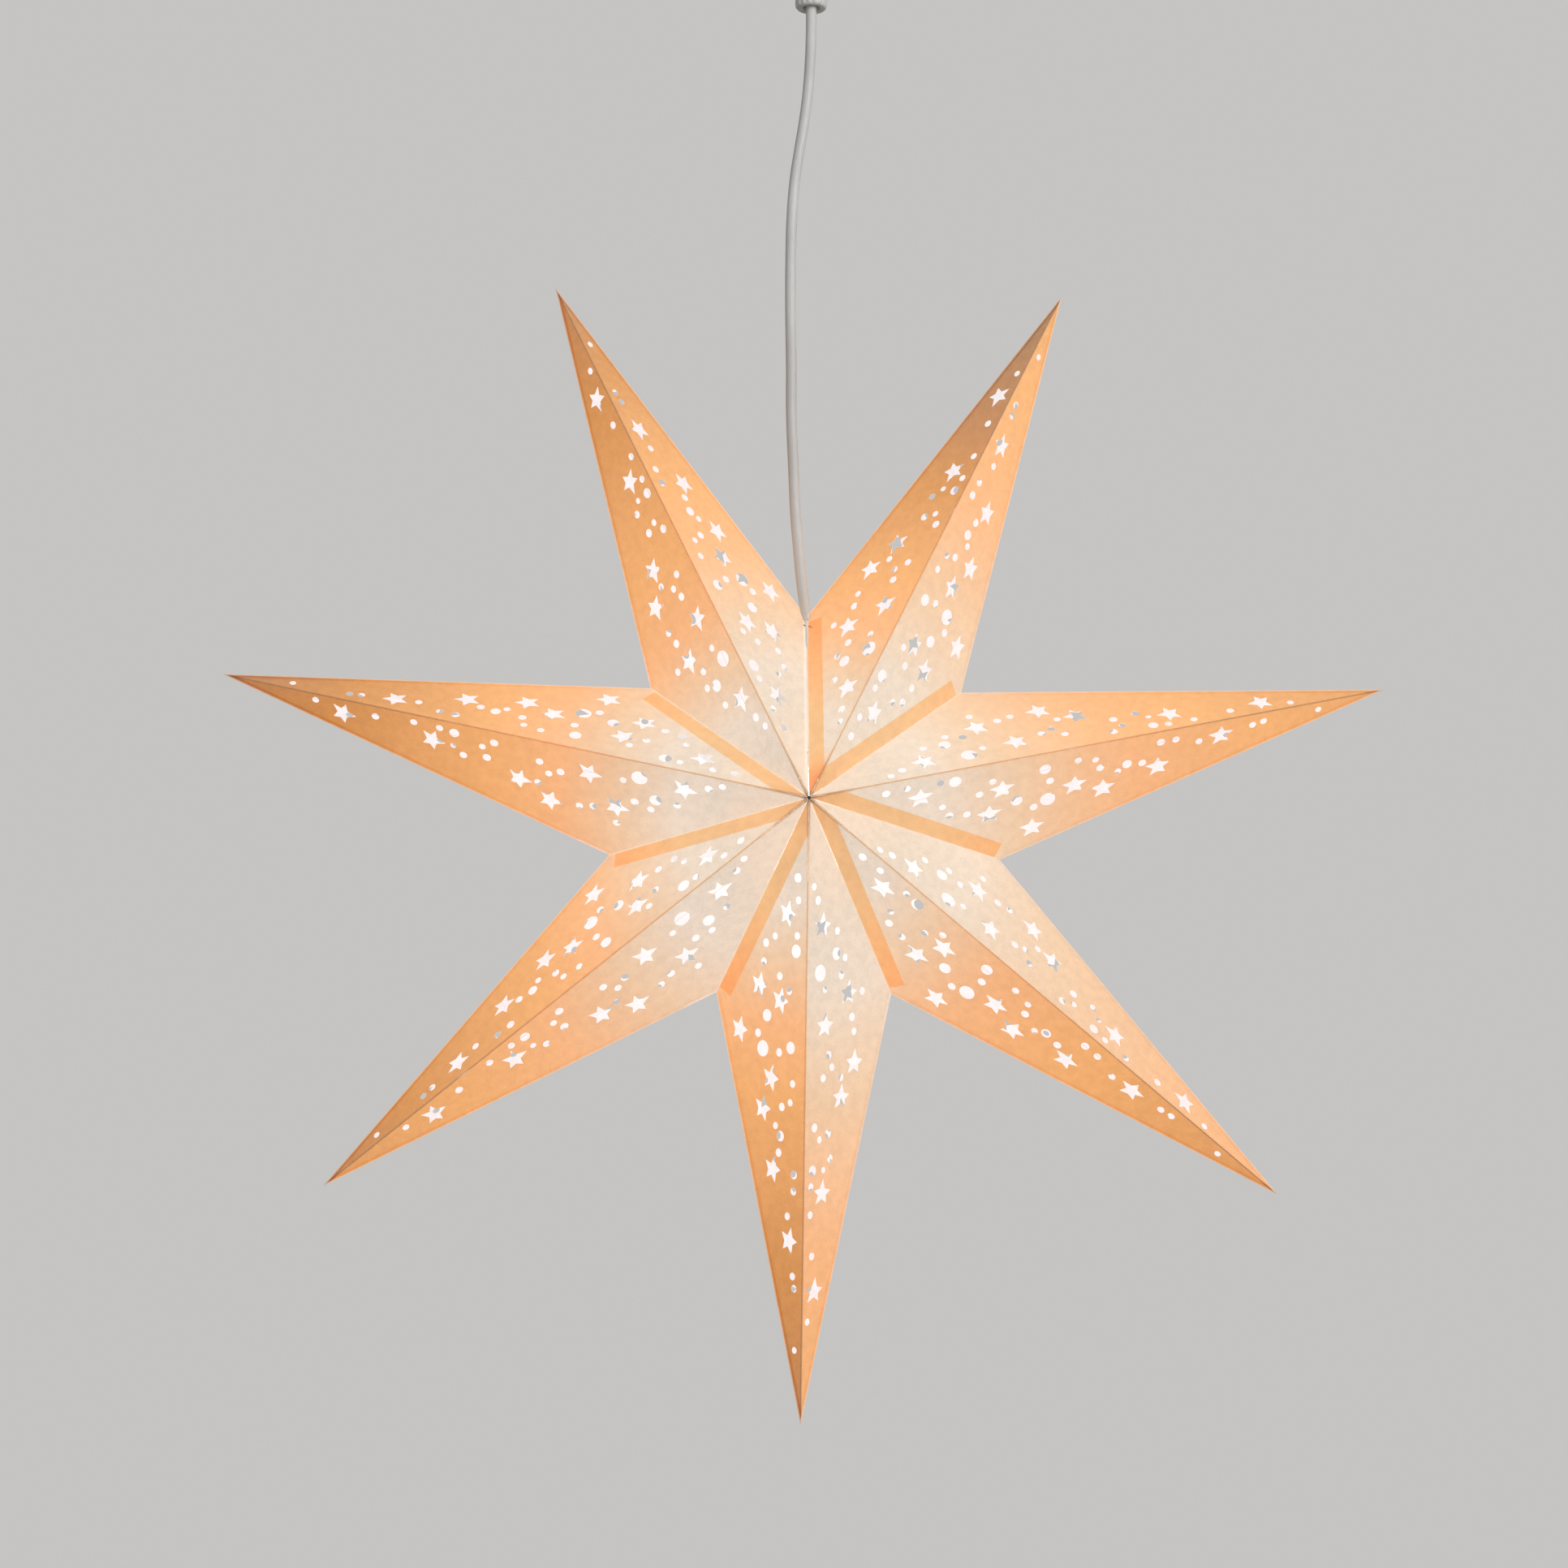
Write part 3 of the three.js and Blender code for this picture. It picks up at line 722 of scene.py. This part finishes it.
waxed_thread = plastic_material("thread", (0.62, 0.50, 0.36), 0.7, speckle=0.08, grain=2600.0)
opal = opal_material("opal_glass", (1.0, 0.96, 0.9), (1.0, 0.9, 0.78), 6.0)


def finish_piece(obj, material, body, slot, *replaced):
    """Gives a piece its material and its body, and hides the CAD nodes that it stands for. Its slot
    is not used.
    """
    obj.data.materials.clear()
    obj.data.materials.append(material)
    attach(obj, body)
    if replaced:
        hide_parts(*replaced)
    return obj


# ---- Camera ----

IMAGE = 1932
HUB_AT = (992.0, 1002.0)  # where the star's centre is in the frame
SCALE = 2464.0  # how many of the frame's pixels make a metre at the star's plane
DISTANCE = 1.5
LOOK_UP = math.radians(8.5)
LOOK_ASIDE = math.radians(1.5)
ROLL = math.radians(0.5)

camera_data = bpy.data.cameras.new("camera")
camera = linked("camera", camera_data)
bpy.context.scene.camera = camera
camera_data.sensor_width = 36.0
camera_data.lens = SCALE * DISTANCE / IMAGE * camera_data.sensor_width
camera_data.clip_start = 0.02
forward = Vector(
    (
        math.sin(LOOK_ASIDE) * math.cos(LOOK_UP),
        math.cos(LOOK_ASIDE) * math.cos(LOOK_UP),
        math.sin(LOOK_UP),
    )
)
level = forward.cross(Vector((0, 0, 1))).normalized()
level.rotate(Matrix.Rotation(-ROLL, 3, forward))
upright = level.cross(forward)
star_centre = Vector((0, 0, HUB_HEIGHT * MM))
aim = (
    star_centre
    - level * ((HUB_AT[0] - IMAGE / 2) / SCALE)
    + upright * ((HUB_AT[1] - IMAGE / 2) / SCALE)
)
camera.matrix_world = Matrix.Translation(aim - forward * DISTANCE) @ Matrix(
    (level, upright, -forward)
).transposed().to_4x4()

# ---- Cord ----

CORD_DIAMETER = 0.0055
CORD_ROUTE = [  # to the right, and up from the star's centre, in millimetres
    [0, 70], [0, 82], [0, 92], [-0.6, 102], [-2.7, 118], [-4.4, 135], [-5.9, 151],
    [-7.3, 178], [-8.6, 206], [-8.8, 230], [-9.5, 262], [-9.6, 288], [-9.1, 312],
    [-7.8, 330], [-5.6, 346], [-3.2, 362], [-1.4, 378], [-0.4, 394], [0, 408],
    [0, 420], [0, 436], [0, 442.7],
]


def from_centre(x, y, z):
    """A place in metres, from one in millimetres with its height from the star's centre."""
    return Vector((x, y, z + HUB_HEIGHT)) * MM


def curve_piece(name, runs, radius, sides=3, smoothness=4):
    """One curve object of round bars. Each run is its points, and whether it is closed."""
    curve = bpy.data.curves.new(name, "CURVE")
    curve.dimensions = "3D"
    curve.bevel_depth = radius
    curve.bevel_resolution = sides
    curve.use_fill_caps = True
    for points, closed in runs:
        spline = curve.splines.new("BEZIER")
        spline.bezier_points.add(len(points) - 1)
        for place, p in zip(spline.bezier_points, points):
            place.co = p
            place.handle_left_type = place.handle_right_type = "AUTO"
        spline.resolution_u = smoothness
        spline.use_cyclic_u = closed
    return linked(name, curve)


cord_points = [from_centre(x, 0, height) for x, height in CORD_ROUTE]
cord = curve_piece("cord_flex", [(cord_points, False)], CORD_DIAMETER / 2, sides=5)
finish_piece(cord, cord_pvc, "cord", "cord_jacket", "cord")

# ---- Turned pieces, with heights in millimetres ----


def turned(name, profile, base=0.0, sides=72, flutes=0, flute_depth=0.0, fluted=(), crease=38.0):
    """A solid of revolution about Z, from a profile of [radius, height] drawn anticlockwise.

    It is closed at the axis if the profile starts there, and otherwise round the hole. The
    profile's fluted stretches have that many shallow grooves.
    """
    verts, faces, rings = [], [], []
    for number, (radius, height) in enumerate(profile):
        z = (height + base) * MM
        if radius < 1e-6:
            rings.append([len(verts)])
            verts.append((0, 0, z))
            continue
        rings.append(list(range(len(verts), len(verts) + sides)))
        for a in around_turn(sides):
            cut = flute_depth * (0.5 + 0.5 * math.cos(a * flutes)) if number in fluted else 0.0
            reach = (radius - cut) * MM
            verts.append((reach * math.cos(a), reach * math.sin(a), z))
    pairs = list(zip(rings, rings[1:]))
    if len(rings[0]) > 1:
        pairs.append((rings[-1], rings[0]))
    for a, b in pairs:
        for i in range(sides if len(a) + len(b) > 2 else 0):
            j = (i + 1) % sides
            if len(a) == 1:
                faces.append([a[0], b[j], b[i]])
            elif len(b) == 1:
                faces.append([a[i], a[j], b[0]])
            else:
                faces.append([a[i], a[j], b[j], b[i]])
    mesh = bpy.data.meshes.new(name)
    mesh.from_pydata(verts, [], faces)
    smooth_by_angle(mesh, crease)
    return linked(name, mesh)


def smooth_by_angle(mesh, degrees):
    mesh.polygons.foreach_set("use_smooth", [True] * len(mesh.polygons))
    mesh.set_sharp_from_angle(angle=math.radians(degrees))


def rounded(profile, radius, steps=4, open_ends=False):
    """The profile with each corner turned into a short arc, but for open ends."""
    result = []
    count = len(profile)
    for i, p in enumerate(profile):
        p = Vector(p)
        if open_ends and i in (0, count - 1):
            result.append(p)
            continue
        before, after = Vector(profile[i - 1]) - p, Vector(profile[(i + 1) % count]) - p
        reach = min(radius, before.length * 0.45, after.length * 0.45)
        start, end = p + before.normalized() * reach, p + after.normalized() * reach
        for k in range(steps + 1):
            t = k / steps
            result.append(start * (1 - t) ** 2 + p * 2 * t * (1 - t) + end * t**2)
    return result


def round_arc(radius, centre, start, end, steps):
    angles = [math.radians(start + (end - start) * i / steps) for i in range(steps + 1)]
    return [(radius * math.cos(a), centre + radius * math.sin(a)) for a in angles]


# Bulb. Its heights are from the star's centre.
BULB_RADIUS, BULB_CENTRE, GLASS, SHOULDER = 22.5, -12.0, 0.9, 6.0
NECK_RADIUS, NECK_TOP, NECK_STEPS = 7.2, 17.0, 8
NECK_BEND = (NECK_RADIUS + 0.5, 11.5)
shoulder_angle = math.degrees(math.asin((SHOULDER - BULB_CENTRE) / BULB_RADIUS))
bulb_outside = round_arc(BULB_RADIUS, BULB_CENTRE, -90, shoulder_angle, 30)
bulb_inside = round_arc(BULB_RADIUS - GLASS, BULB_CENTRE, -90, shoulder_angle, 30)
shoulder_x = bulb_outside[-1][0]
neck = []
for k in range(1, NECK_STEPS + 1):  # the shoulder runs into the neck in a slow curve
    t = k / NECK_STEPS
    neck.append(
        (
            shoulder_x * (1 - t) ** 2 + 2 * t * (1 - t) * NECK_BEND[0] + NECK_RADIUS * t * t,
            SHOULDER * (1 - t) ** 2 + 2 * t * (1 - t) * NECK_BEND[1] + NECK_TOP * t * t,
        )
    )
bulb_outside[0], bulb_inside[0] = (0, bulb_outside[0][1]), (0, bulb_inside[0][1])
bulb_profile = bulb_outside + neck + [(r - GLASS, z) for r, z in reversed(neck)] + bulb_inside[::-1]
bulb = turned("bulb_globe", bulb_profile, HUB_HEIGHT, crease=60)
finish_piece(bulb, opal, "bulb", "opal_glass", "bulb_glass")

STEPS_A_THREAD = 12  # a screw thread is drawn as rings in a wave


def thread_wave(count, radius, depth, start, height):
    """A threaded stretch of a profile. The height is a function of the step's number."""
    return [
        (radius + depth * math.sin(math.tau * (k / STEPS_A_THREAD)), start + height(k))
        for k in range(count)
    ]


BASE_BOTTOM, BASE_PITCH = 17.4, 2.8
base_profile = [
    (0, BASE_BOTTOM), (6.3, BASE_BOTTOM), (6.5, BASE_BOTTOM + 0.3), (6.3, BASE_BOTTOM + 5.6),
    *thread_wave(61, 6.55, 0.33, 23.6, lambda k: BASE_PITCH * (k / STEPS_A_THREAD)),
    (6.2, 41.4), (5.6, 42.2), (4.4, 44.9), (3.6, 45.6), (3.4, 46.0), (3.2, 47.2), (2.2, 47.8),
    (0, 48),
]
finish_piece(
    turned("bulb_screw_base", base_profile, HUB_HEIGHT), nickel, "bulb", "nickel", "bulb_base"
)
stem_profile = [
    (0, -20), (1.6, -19.6), (2.4, -18), (2.4, 4), (3, 9), (4.6, 14), (5, NECK_TOP), (0, NECK_TOP),
]
finish_piece(
    turned("bulb_filament_stem", rounded(stem_profile, 0.8, open_ends=True), HUB_HEIGHT, sides=32),
    opal, "bulb", "opal_glass", "bulb_stem",
)

# Lampholder.
HOLDER_RADIUS, THREAD_RADIUS, SOCKET_RADIUS = 13.8, 12.5, 7.9
cap_profile = [
    (3.3, 82), (3.3, 68), (10.8, 65), (10.8, 62), (13.8, 62), (13.8, 66),
    (13.0, 69), (11.5, 72), (9.0, 75.3), (6.5, 78), (5.6, 80), (5.2, 82),
]
finish_piece(
    turned("holder_cap", rounded(cap_profile, 0.7), HUB_HEIGHT, sides=96, flutes=24,
           flute_depth=0.35, fluted=range(21, 31)),
    holder_plastic, "lamp", "holder_plastic", "lampholder_cap",
)
body_profile = [
    (0, 50), (SOCKET_RADIUS, 50), (SOCKET_RADIUS, 18.4), (8.2, 18), (12.1, 18), (12.3, 18.3),
    *thread_wave(97, 12.2, 0.28, 18.9, lambda k: 24.0 * k / 96),
    (THREAD_RADIUS, 44), (13.2, 45), (13.7, 45.6), (HOLDER_RADIUS, 46.4), (HOLDER_RADIUS, 52),
    (13.5, 52.3), (13.5, 52.9), (HOLDER_RADIUS, 53.2), (HOLDER_RADIUS, 61.1), (13.4, 61.5),
    (0, 61.5),
]
finish_piece(
    turned("holder_body", body_profile, HUB_HEIGHT), holder_plastic, "lamp", "holder_plastic",
    "lampholder_body",
)
ring_profile = [(12.9, 20), (20, 20), (20, 22.5), (15.9, 23.5), (15.9, 28), (12.9, 28)]
finish_piece(
    turned("holder_ring", rounded(ring_profile, 0.5), HUB_HEIGHT, sides=144, flutes=36,
           flute_depth=0.45, fluted=range(5, 15)),
    holder_plastic, "ring", "holder_plastic", "shade_ring",
)

# Ceiling cup, gland and grip.
cup_outside = [
    (6.4, -60), (12, -60), (15.6, -59.7), (18.4, -58.6), (20.6, -55.6), (23.0, -50.4), (25.4, -45),
    (29.4, -34), (33.0, -24), (36.0, -16.4), (38.6, -10.4), (40.5, -6.0), (41.7, -3.4),
    (42, -2.2), (42, -0.6),
]
cup_inside = [
    (40, -0.6), (39.8, -3.2), (36.7, -10), (34.0, -16.2), (31, -23), (27.2, -33.6), (23, -45),
    (20.6, -50.6), (18.2, -55.5), (16.6, -57.3), (14.2, -58), (6.4, -58),
]
finish_piece(
    turned("cup_shell", cup_outside + cup_inside, sides=128), cup_plastic, "ceiling", "cup_plastic",
    "ceiling_cup",
)
gland_profile = [
    (3.4, -66), (4.1, -69), (4.9, -72), (7.2, -72), (8.2, -71), (8.5, -69), (8.5, -60.4),
    (6, -60.4), (6, -57.6), (8.5, -57.6), (8.5, -55.4), (5.4, -55.4), (4.2, -60),
]
finish_piece(
    turned("cup_gland", rounded(gland_profile, 0.35, 2), sides=96, flutes=16, flute_depth=0.5,
           fluted=range(12, 21)),
    cup_plastic, "ceiling", "cup_plastic", "cord_gland",
)
grip_profile = [
    (0, -52), (5, -52), (5.8, -51.6), (6, -50.9), (6, -49.6), (5.4, -49.2), (5.4, -46.8),
    (6, -46.4), (6, -45.1), (5.8, -44.4), (5, -44), (0, -44),
]
finish_piece(
    turned("cup_cord_grip", grip_profile, sides=48), holder_plastic, "grip", "holder_plastic",
    "cord_grip",
)


def flat_solid(name, outline, holes, low, high, chamfer=0.4):
    """A plate between two heights with its edges a little rounded off: outline and holes in XY."""
    flat, faces = triangulated(outline, holes)
    n = len(flat)
    border = border_edges(faces)
    away = [Vector((0, 0)) for _ in flat]
    for a, b in border:
        along = (flat[b] - flat[a]).normalized()
        for i in (a, b):
            away[i] += Vector((along.y, -along.x))
    away = [v.normalized() * chamfer for v in away]
    levels = [(low, 1), (low + chamfer, 0), (high - chamfer, 0), (high, 1)]
    verts = [((p - v * share) * MM).to_3d() + Vector((0, 0, z * MM))
             for z, share in levels for p, v in zip(flat, away)]
    polygons = [face[::-1] for face in faces] + [[i + 3 * n for i in face] for face in faces]
    for k in range(3):
        polygons += [[a + k * n, b + k * n, b + (k + 1) * n, a + (k + 1) * n] for a, b in border]
    mesh = bpy.data.meshes.new(name)
    mesh.from_pydata(verts, [], polygons)
    smooth_by_angle(mesh, 38)
    return linked(name, mesh)


def circle(x, y, radius, sides):
    return [
        Vector((x + radius * math.cos(a), y + radius * math.sin(a))) for a in around_turn(sides)
    ]


screw_holes = [circle(x, 0, 2.2, 24) for x in (-25, 25)]
cable_holes = [circle(0, y, 3.2, 24) for y in (22, -22)]
plate = flat_solid("cup_fixing_plate", circle(0, 0, 38, 96), screw_holes + cable_holes, -3, 0)
finish_piece(plate, plate_steel, "ceiling", "plate_steel", "ceiling_plate")
block_outline = rounded(
    [(-12, -7), (-5, -7), (-4, -5.6), (-3, -7), (3, -7), (4, -5.6), (5, -7), (12, -7),
     (12, 7), (5, 7), (4, 5.6), (3, 7), (-3, 7), (-4, 5.6), (-5, 7), (-12, 7)], 0.5, 2,
)
block = flat_solid(
    "cup_terminal_block", block_outline,
    [circle(x, y, 1.7, 20) for x in (-8, 0, 8) for y in (-3, 3)], -19.3, -3.3,
)
finish_piece(block, block_plastic, "ceiling", "terminal_plastic", "terminal_block")

# ---- Wire hanger and threads ----

EYE_RADIUS, EYE_HEIGHT = 14.4, 29.6
HANGER_WIRE, KNOT_THREAD, TIE_THREAD = 0.0008, 0.0003, 0.0004  # radii
HANGER_LEG = [
    (14.4, 29.6), (16.2, 33), (16.6, 44), (16.4, 58), (15.2, 68), (10.4, 79), (7.4, 88), (5.4, 95),
    (6.6, 99.2), (9.6, 99.5), (11.4, 96.5),
]
eye = [
    from_centre(EYE_RADIUS * math.cos(a), EYE_RADIUS * math.sin(a), EYE_HEIGHT)
    for a in around_turn(16)
]
legs = [([from_centre(0, sign * y, z) for y, z in HANGER_LEG], False) for sign in (-1, 1)]
hanger = curve_piece(
    "wire_hanger_bent", [(eye, True), *legs], HANGER_WIRE, sides=4, smoothness=6
)
finish_piece(hanger, wire_lacquer, "lamp", "wire_steel", "wire_hanger")


def knot(name, centre_y):
    """A small overhand knot of waxed thread, with two short ends."""
    loop = []
    for a in around_turn(24):
        r = 0.55 + 0.25 * math.cos(3 * a)
        y = centre_y + 0.4 * math.sin(3 * a)
        loop.append(from_centre(r * math.cos(2 * a), y, r * math.sin(2 * a)))
    inward = -1 if centre_y > 0 else 1
    end = [
        from_centre(x, centre_y + inward * y, z)
        for x, y, z in ((0.3, 0.3, 0.0), (0.7, 1.4, -1.0), (0.5, 2.4, -2.6))
    ]
    return curve_piece(name, [(loop, True), (end, False)], KNOT_THREAD, smoothness=3)


KNOT_INSIDE = 0.9  # the knots are this far inside the hubs
finish_piece(
    knot("hub_knot_front", -HALF_DEPTH + KNOT_INSIDE), hub_thread, "lamp", "thread",
    "hub_thread_front",
)
finish_piece(
    knot("hub_knot_back", HALF_DEPTH - KNOT_INSIDE), hub_thread, "point_4_back_left", "thread",
    "hub_thread_back",
)

# The tie round the cord at the top of the seam.
TIE_HEIGHT = 94.6
tie = [
    from_centre(3.5 * math.cos(a), 4.1 * math.sin(a), TIE_HEIGHT + 0.5 * math.sin(2 * a))
    for a in around_turn(14)
]
tie_end = [
    from_centre(*p) for p in ((1.2, -4.0, TIE_HEIGHT), (2.4, -5.0, 93.6), (2.9, -5.2, 91.4))
]
finish_piece(
    curve_piece("seam_tie", [(tie, True), (tie_end, False)], TIE_THREAD),
    waxed_thread, "lamp", "thread",
)

# ---- Paper star ----

shapes = {}


def sheet_shape(at_seam, seen_side):
    """The flat shape of a sheet, which is the same for many panels."""
    key = (at_seam, seen_side)
    if key not in shapes:
        outline = densified(panel_outline(at_seam, cut_back=seen_side == "left"))
        shapes[key] = triangulated(outline, HOLES[seen_side], GRID)
    return shapes[key]


SEAM_SIDES = {(1, "left"): "flap", (POINTS, "right"): "gap"}
SEEN_FROM_BEHIND = {"left": "right", "right": "left"}
flap_shape = triangulated(densified(flap_outline()), [], GRID)
for point in range(1, POINTS + 1):
    for face in ("front", "back"):
        for side in ("left", "right"):
            name = f"point_{point}_{face}_{side}"
            panel = Panel(point, face, side)
            seen_side = side if face == "front" else SEEN_FROM_BEHIND[side]
            at_seam = SEAM_SIDES.get((point, side))
            over_flap = 0.0
            if at_seam == "gap":
                over_flap = -1.0
            elif at_seam == "flap" or side == "right":
                over_flap = 1.0
            sheet = sheet_mesh(
                f"paper_{name}", panel, *sheet_shape(at_seam, seen_side), sheet_depth, sheet_skin,
                over_flap,
            )
            finish_piece(sheet, paper, name, "paper", name)
        # The flap along the valley before this point is glued to the point before it. The one at
        # the seam is folded back under its own sheet.
        host, host_side = (1, "left") if point == 1 else (point - 1, "right")
        name = f"point_{point}_{face}_flap"
        flap = sheet_mesh(
            f"paper_{name}", Panel(host, face, host_side), *flap_shape, flap_depth, flap_skin
        )
        finish_piece(flap, flap_paper, f"point_{host}_{face}_{host_side}", "glue_flap", name)

# ---- Stage and light ----

STAGE_VIEW, FLOOR_VIEW = 0.56, 0.46  # how bright the backdrop and the floor look
AMBIENT = 0.28  # how brightly the backdrop lights the star
FLOOR_RADIUS, FLOOR_SIDES, FLOOR_Z = 6.0, 96, -2.50


def camera_only(tree, colour, strength):
    """Light that the camera sees and that lights nothing."""
    seen = node(tree, "ShaderNodeLightPath").outputs["Is Camera Ray"]
    inputs = {"Color": colour, "Strength": times(tree, seen, strength)}
    return node(tree, "ShaderNodeEmission", inputs).outputs[0]


floor_mesh = bpy.data.meshes.new("floor")
floor_rim = circle(0, 0, FLOOR_RADIUS, FLOOR_SIDES)
floor_mesh.from_pydata([(p.x, p.y, FLOOR_Z) for p in floor_rim], [], [list(range(FLOOR_SIDES))])
floor = linked("floor", floor_mesh)
floor_material, tree, output = new_material("floor")
coords = node(tree, "ShaderNodeTexCoord").outputs["Object"]
shade = ramp(tree, noise_texture(tree, coords, 3.0, 4.0), 0.3, 0.7, 0.50, 0.54)
floor_face = node(tree, "ShaderNodeBsdfDiffuse", {"Color": grey(tree, shade)}).outputs[0]
floor_glow = camera_only(tree, (1.0, 0.99, 0.97, 1), FLOOR_VIEW)
both = node(tree, "ShaderNodeAddShader", {0: floor_face, 1: floor_glow}).outputs[0]
tree.links.new(both, output.inputs["Surface"])
floor_mesh.materials.append(floor_material)

world = bpy.data.worlds.new("studio")
bpy.context.scene.world = world
world.use_nodes = True
tree = world.node_tree
seen = node(tree, "ShaderNodeLightPath").outputs["Is Camera Ray"]
background = tree.nodes["Background"]
background.inputs[0].default_value = (1.0, 0.99, 0.975, 1)
tree.links.new(
    maths(tree, "ADD", times(tree, seen, STAGE_VIEW - AMBIENT), AMBIENT), background.inputs[1]
)


def area_light(name, location, target, size, power, colour):
    data = bpy.data.lights.new(name, "AREA")
    data.size = size
    data.energy = power
    data.color = colour
    light = linked(name, data)
    light.location = location
    light.rotation_euler = (Vector(target) - Vector(location)).to_track_quat("-Z", "Y").to_euler()


area_light("key", (-1.6, -1.8, 0.9), star_centre, 1.6, 2.6, (1.0, 0.97, 0.94))
area_light("fill", (1.8, -1.2, -0.2), star_centre, 1.8, 1.2, (0.98, 0.99, 1.0))
area_light("rear", (0.4, 2.2, 0.8), star_centre, 1.6, 5.0, (1.0, 0.98, 0.96))
area_light("top", (0.40, -0.65, -0.03), (0, 0, -0.06), 0.35, 3.0, (1.0, 0.99, 0.98))

bpy.context.scene.view_settings.view_transform = "Standard"
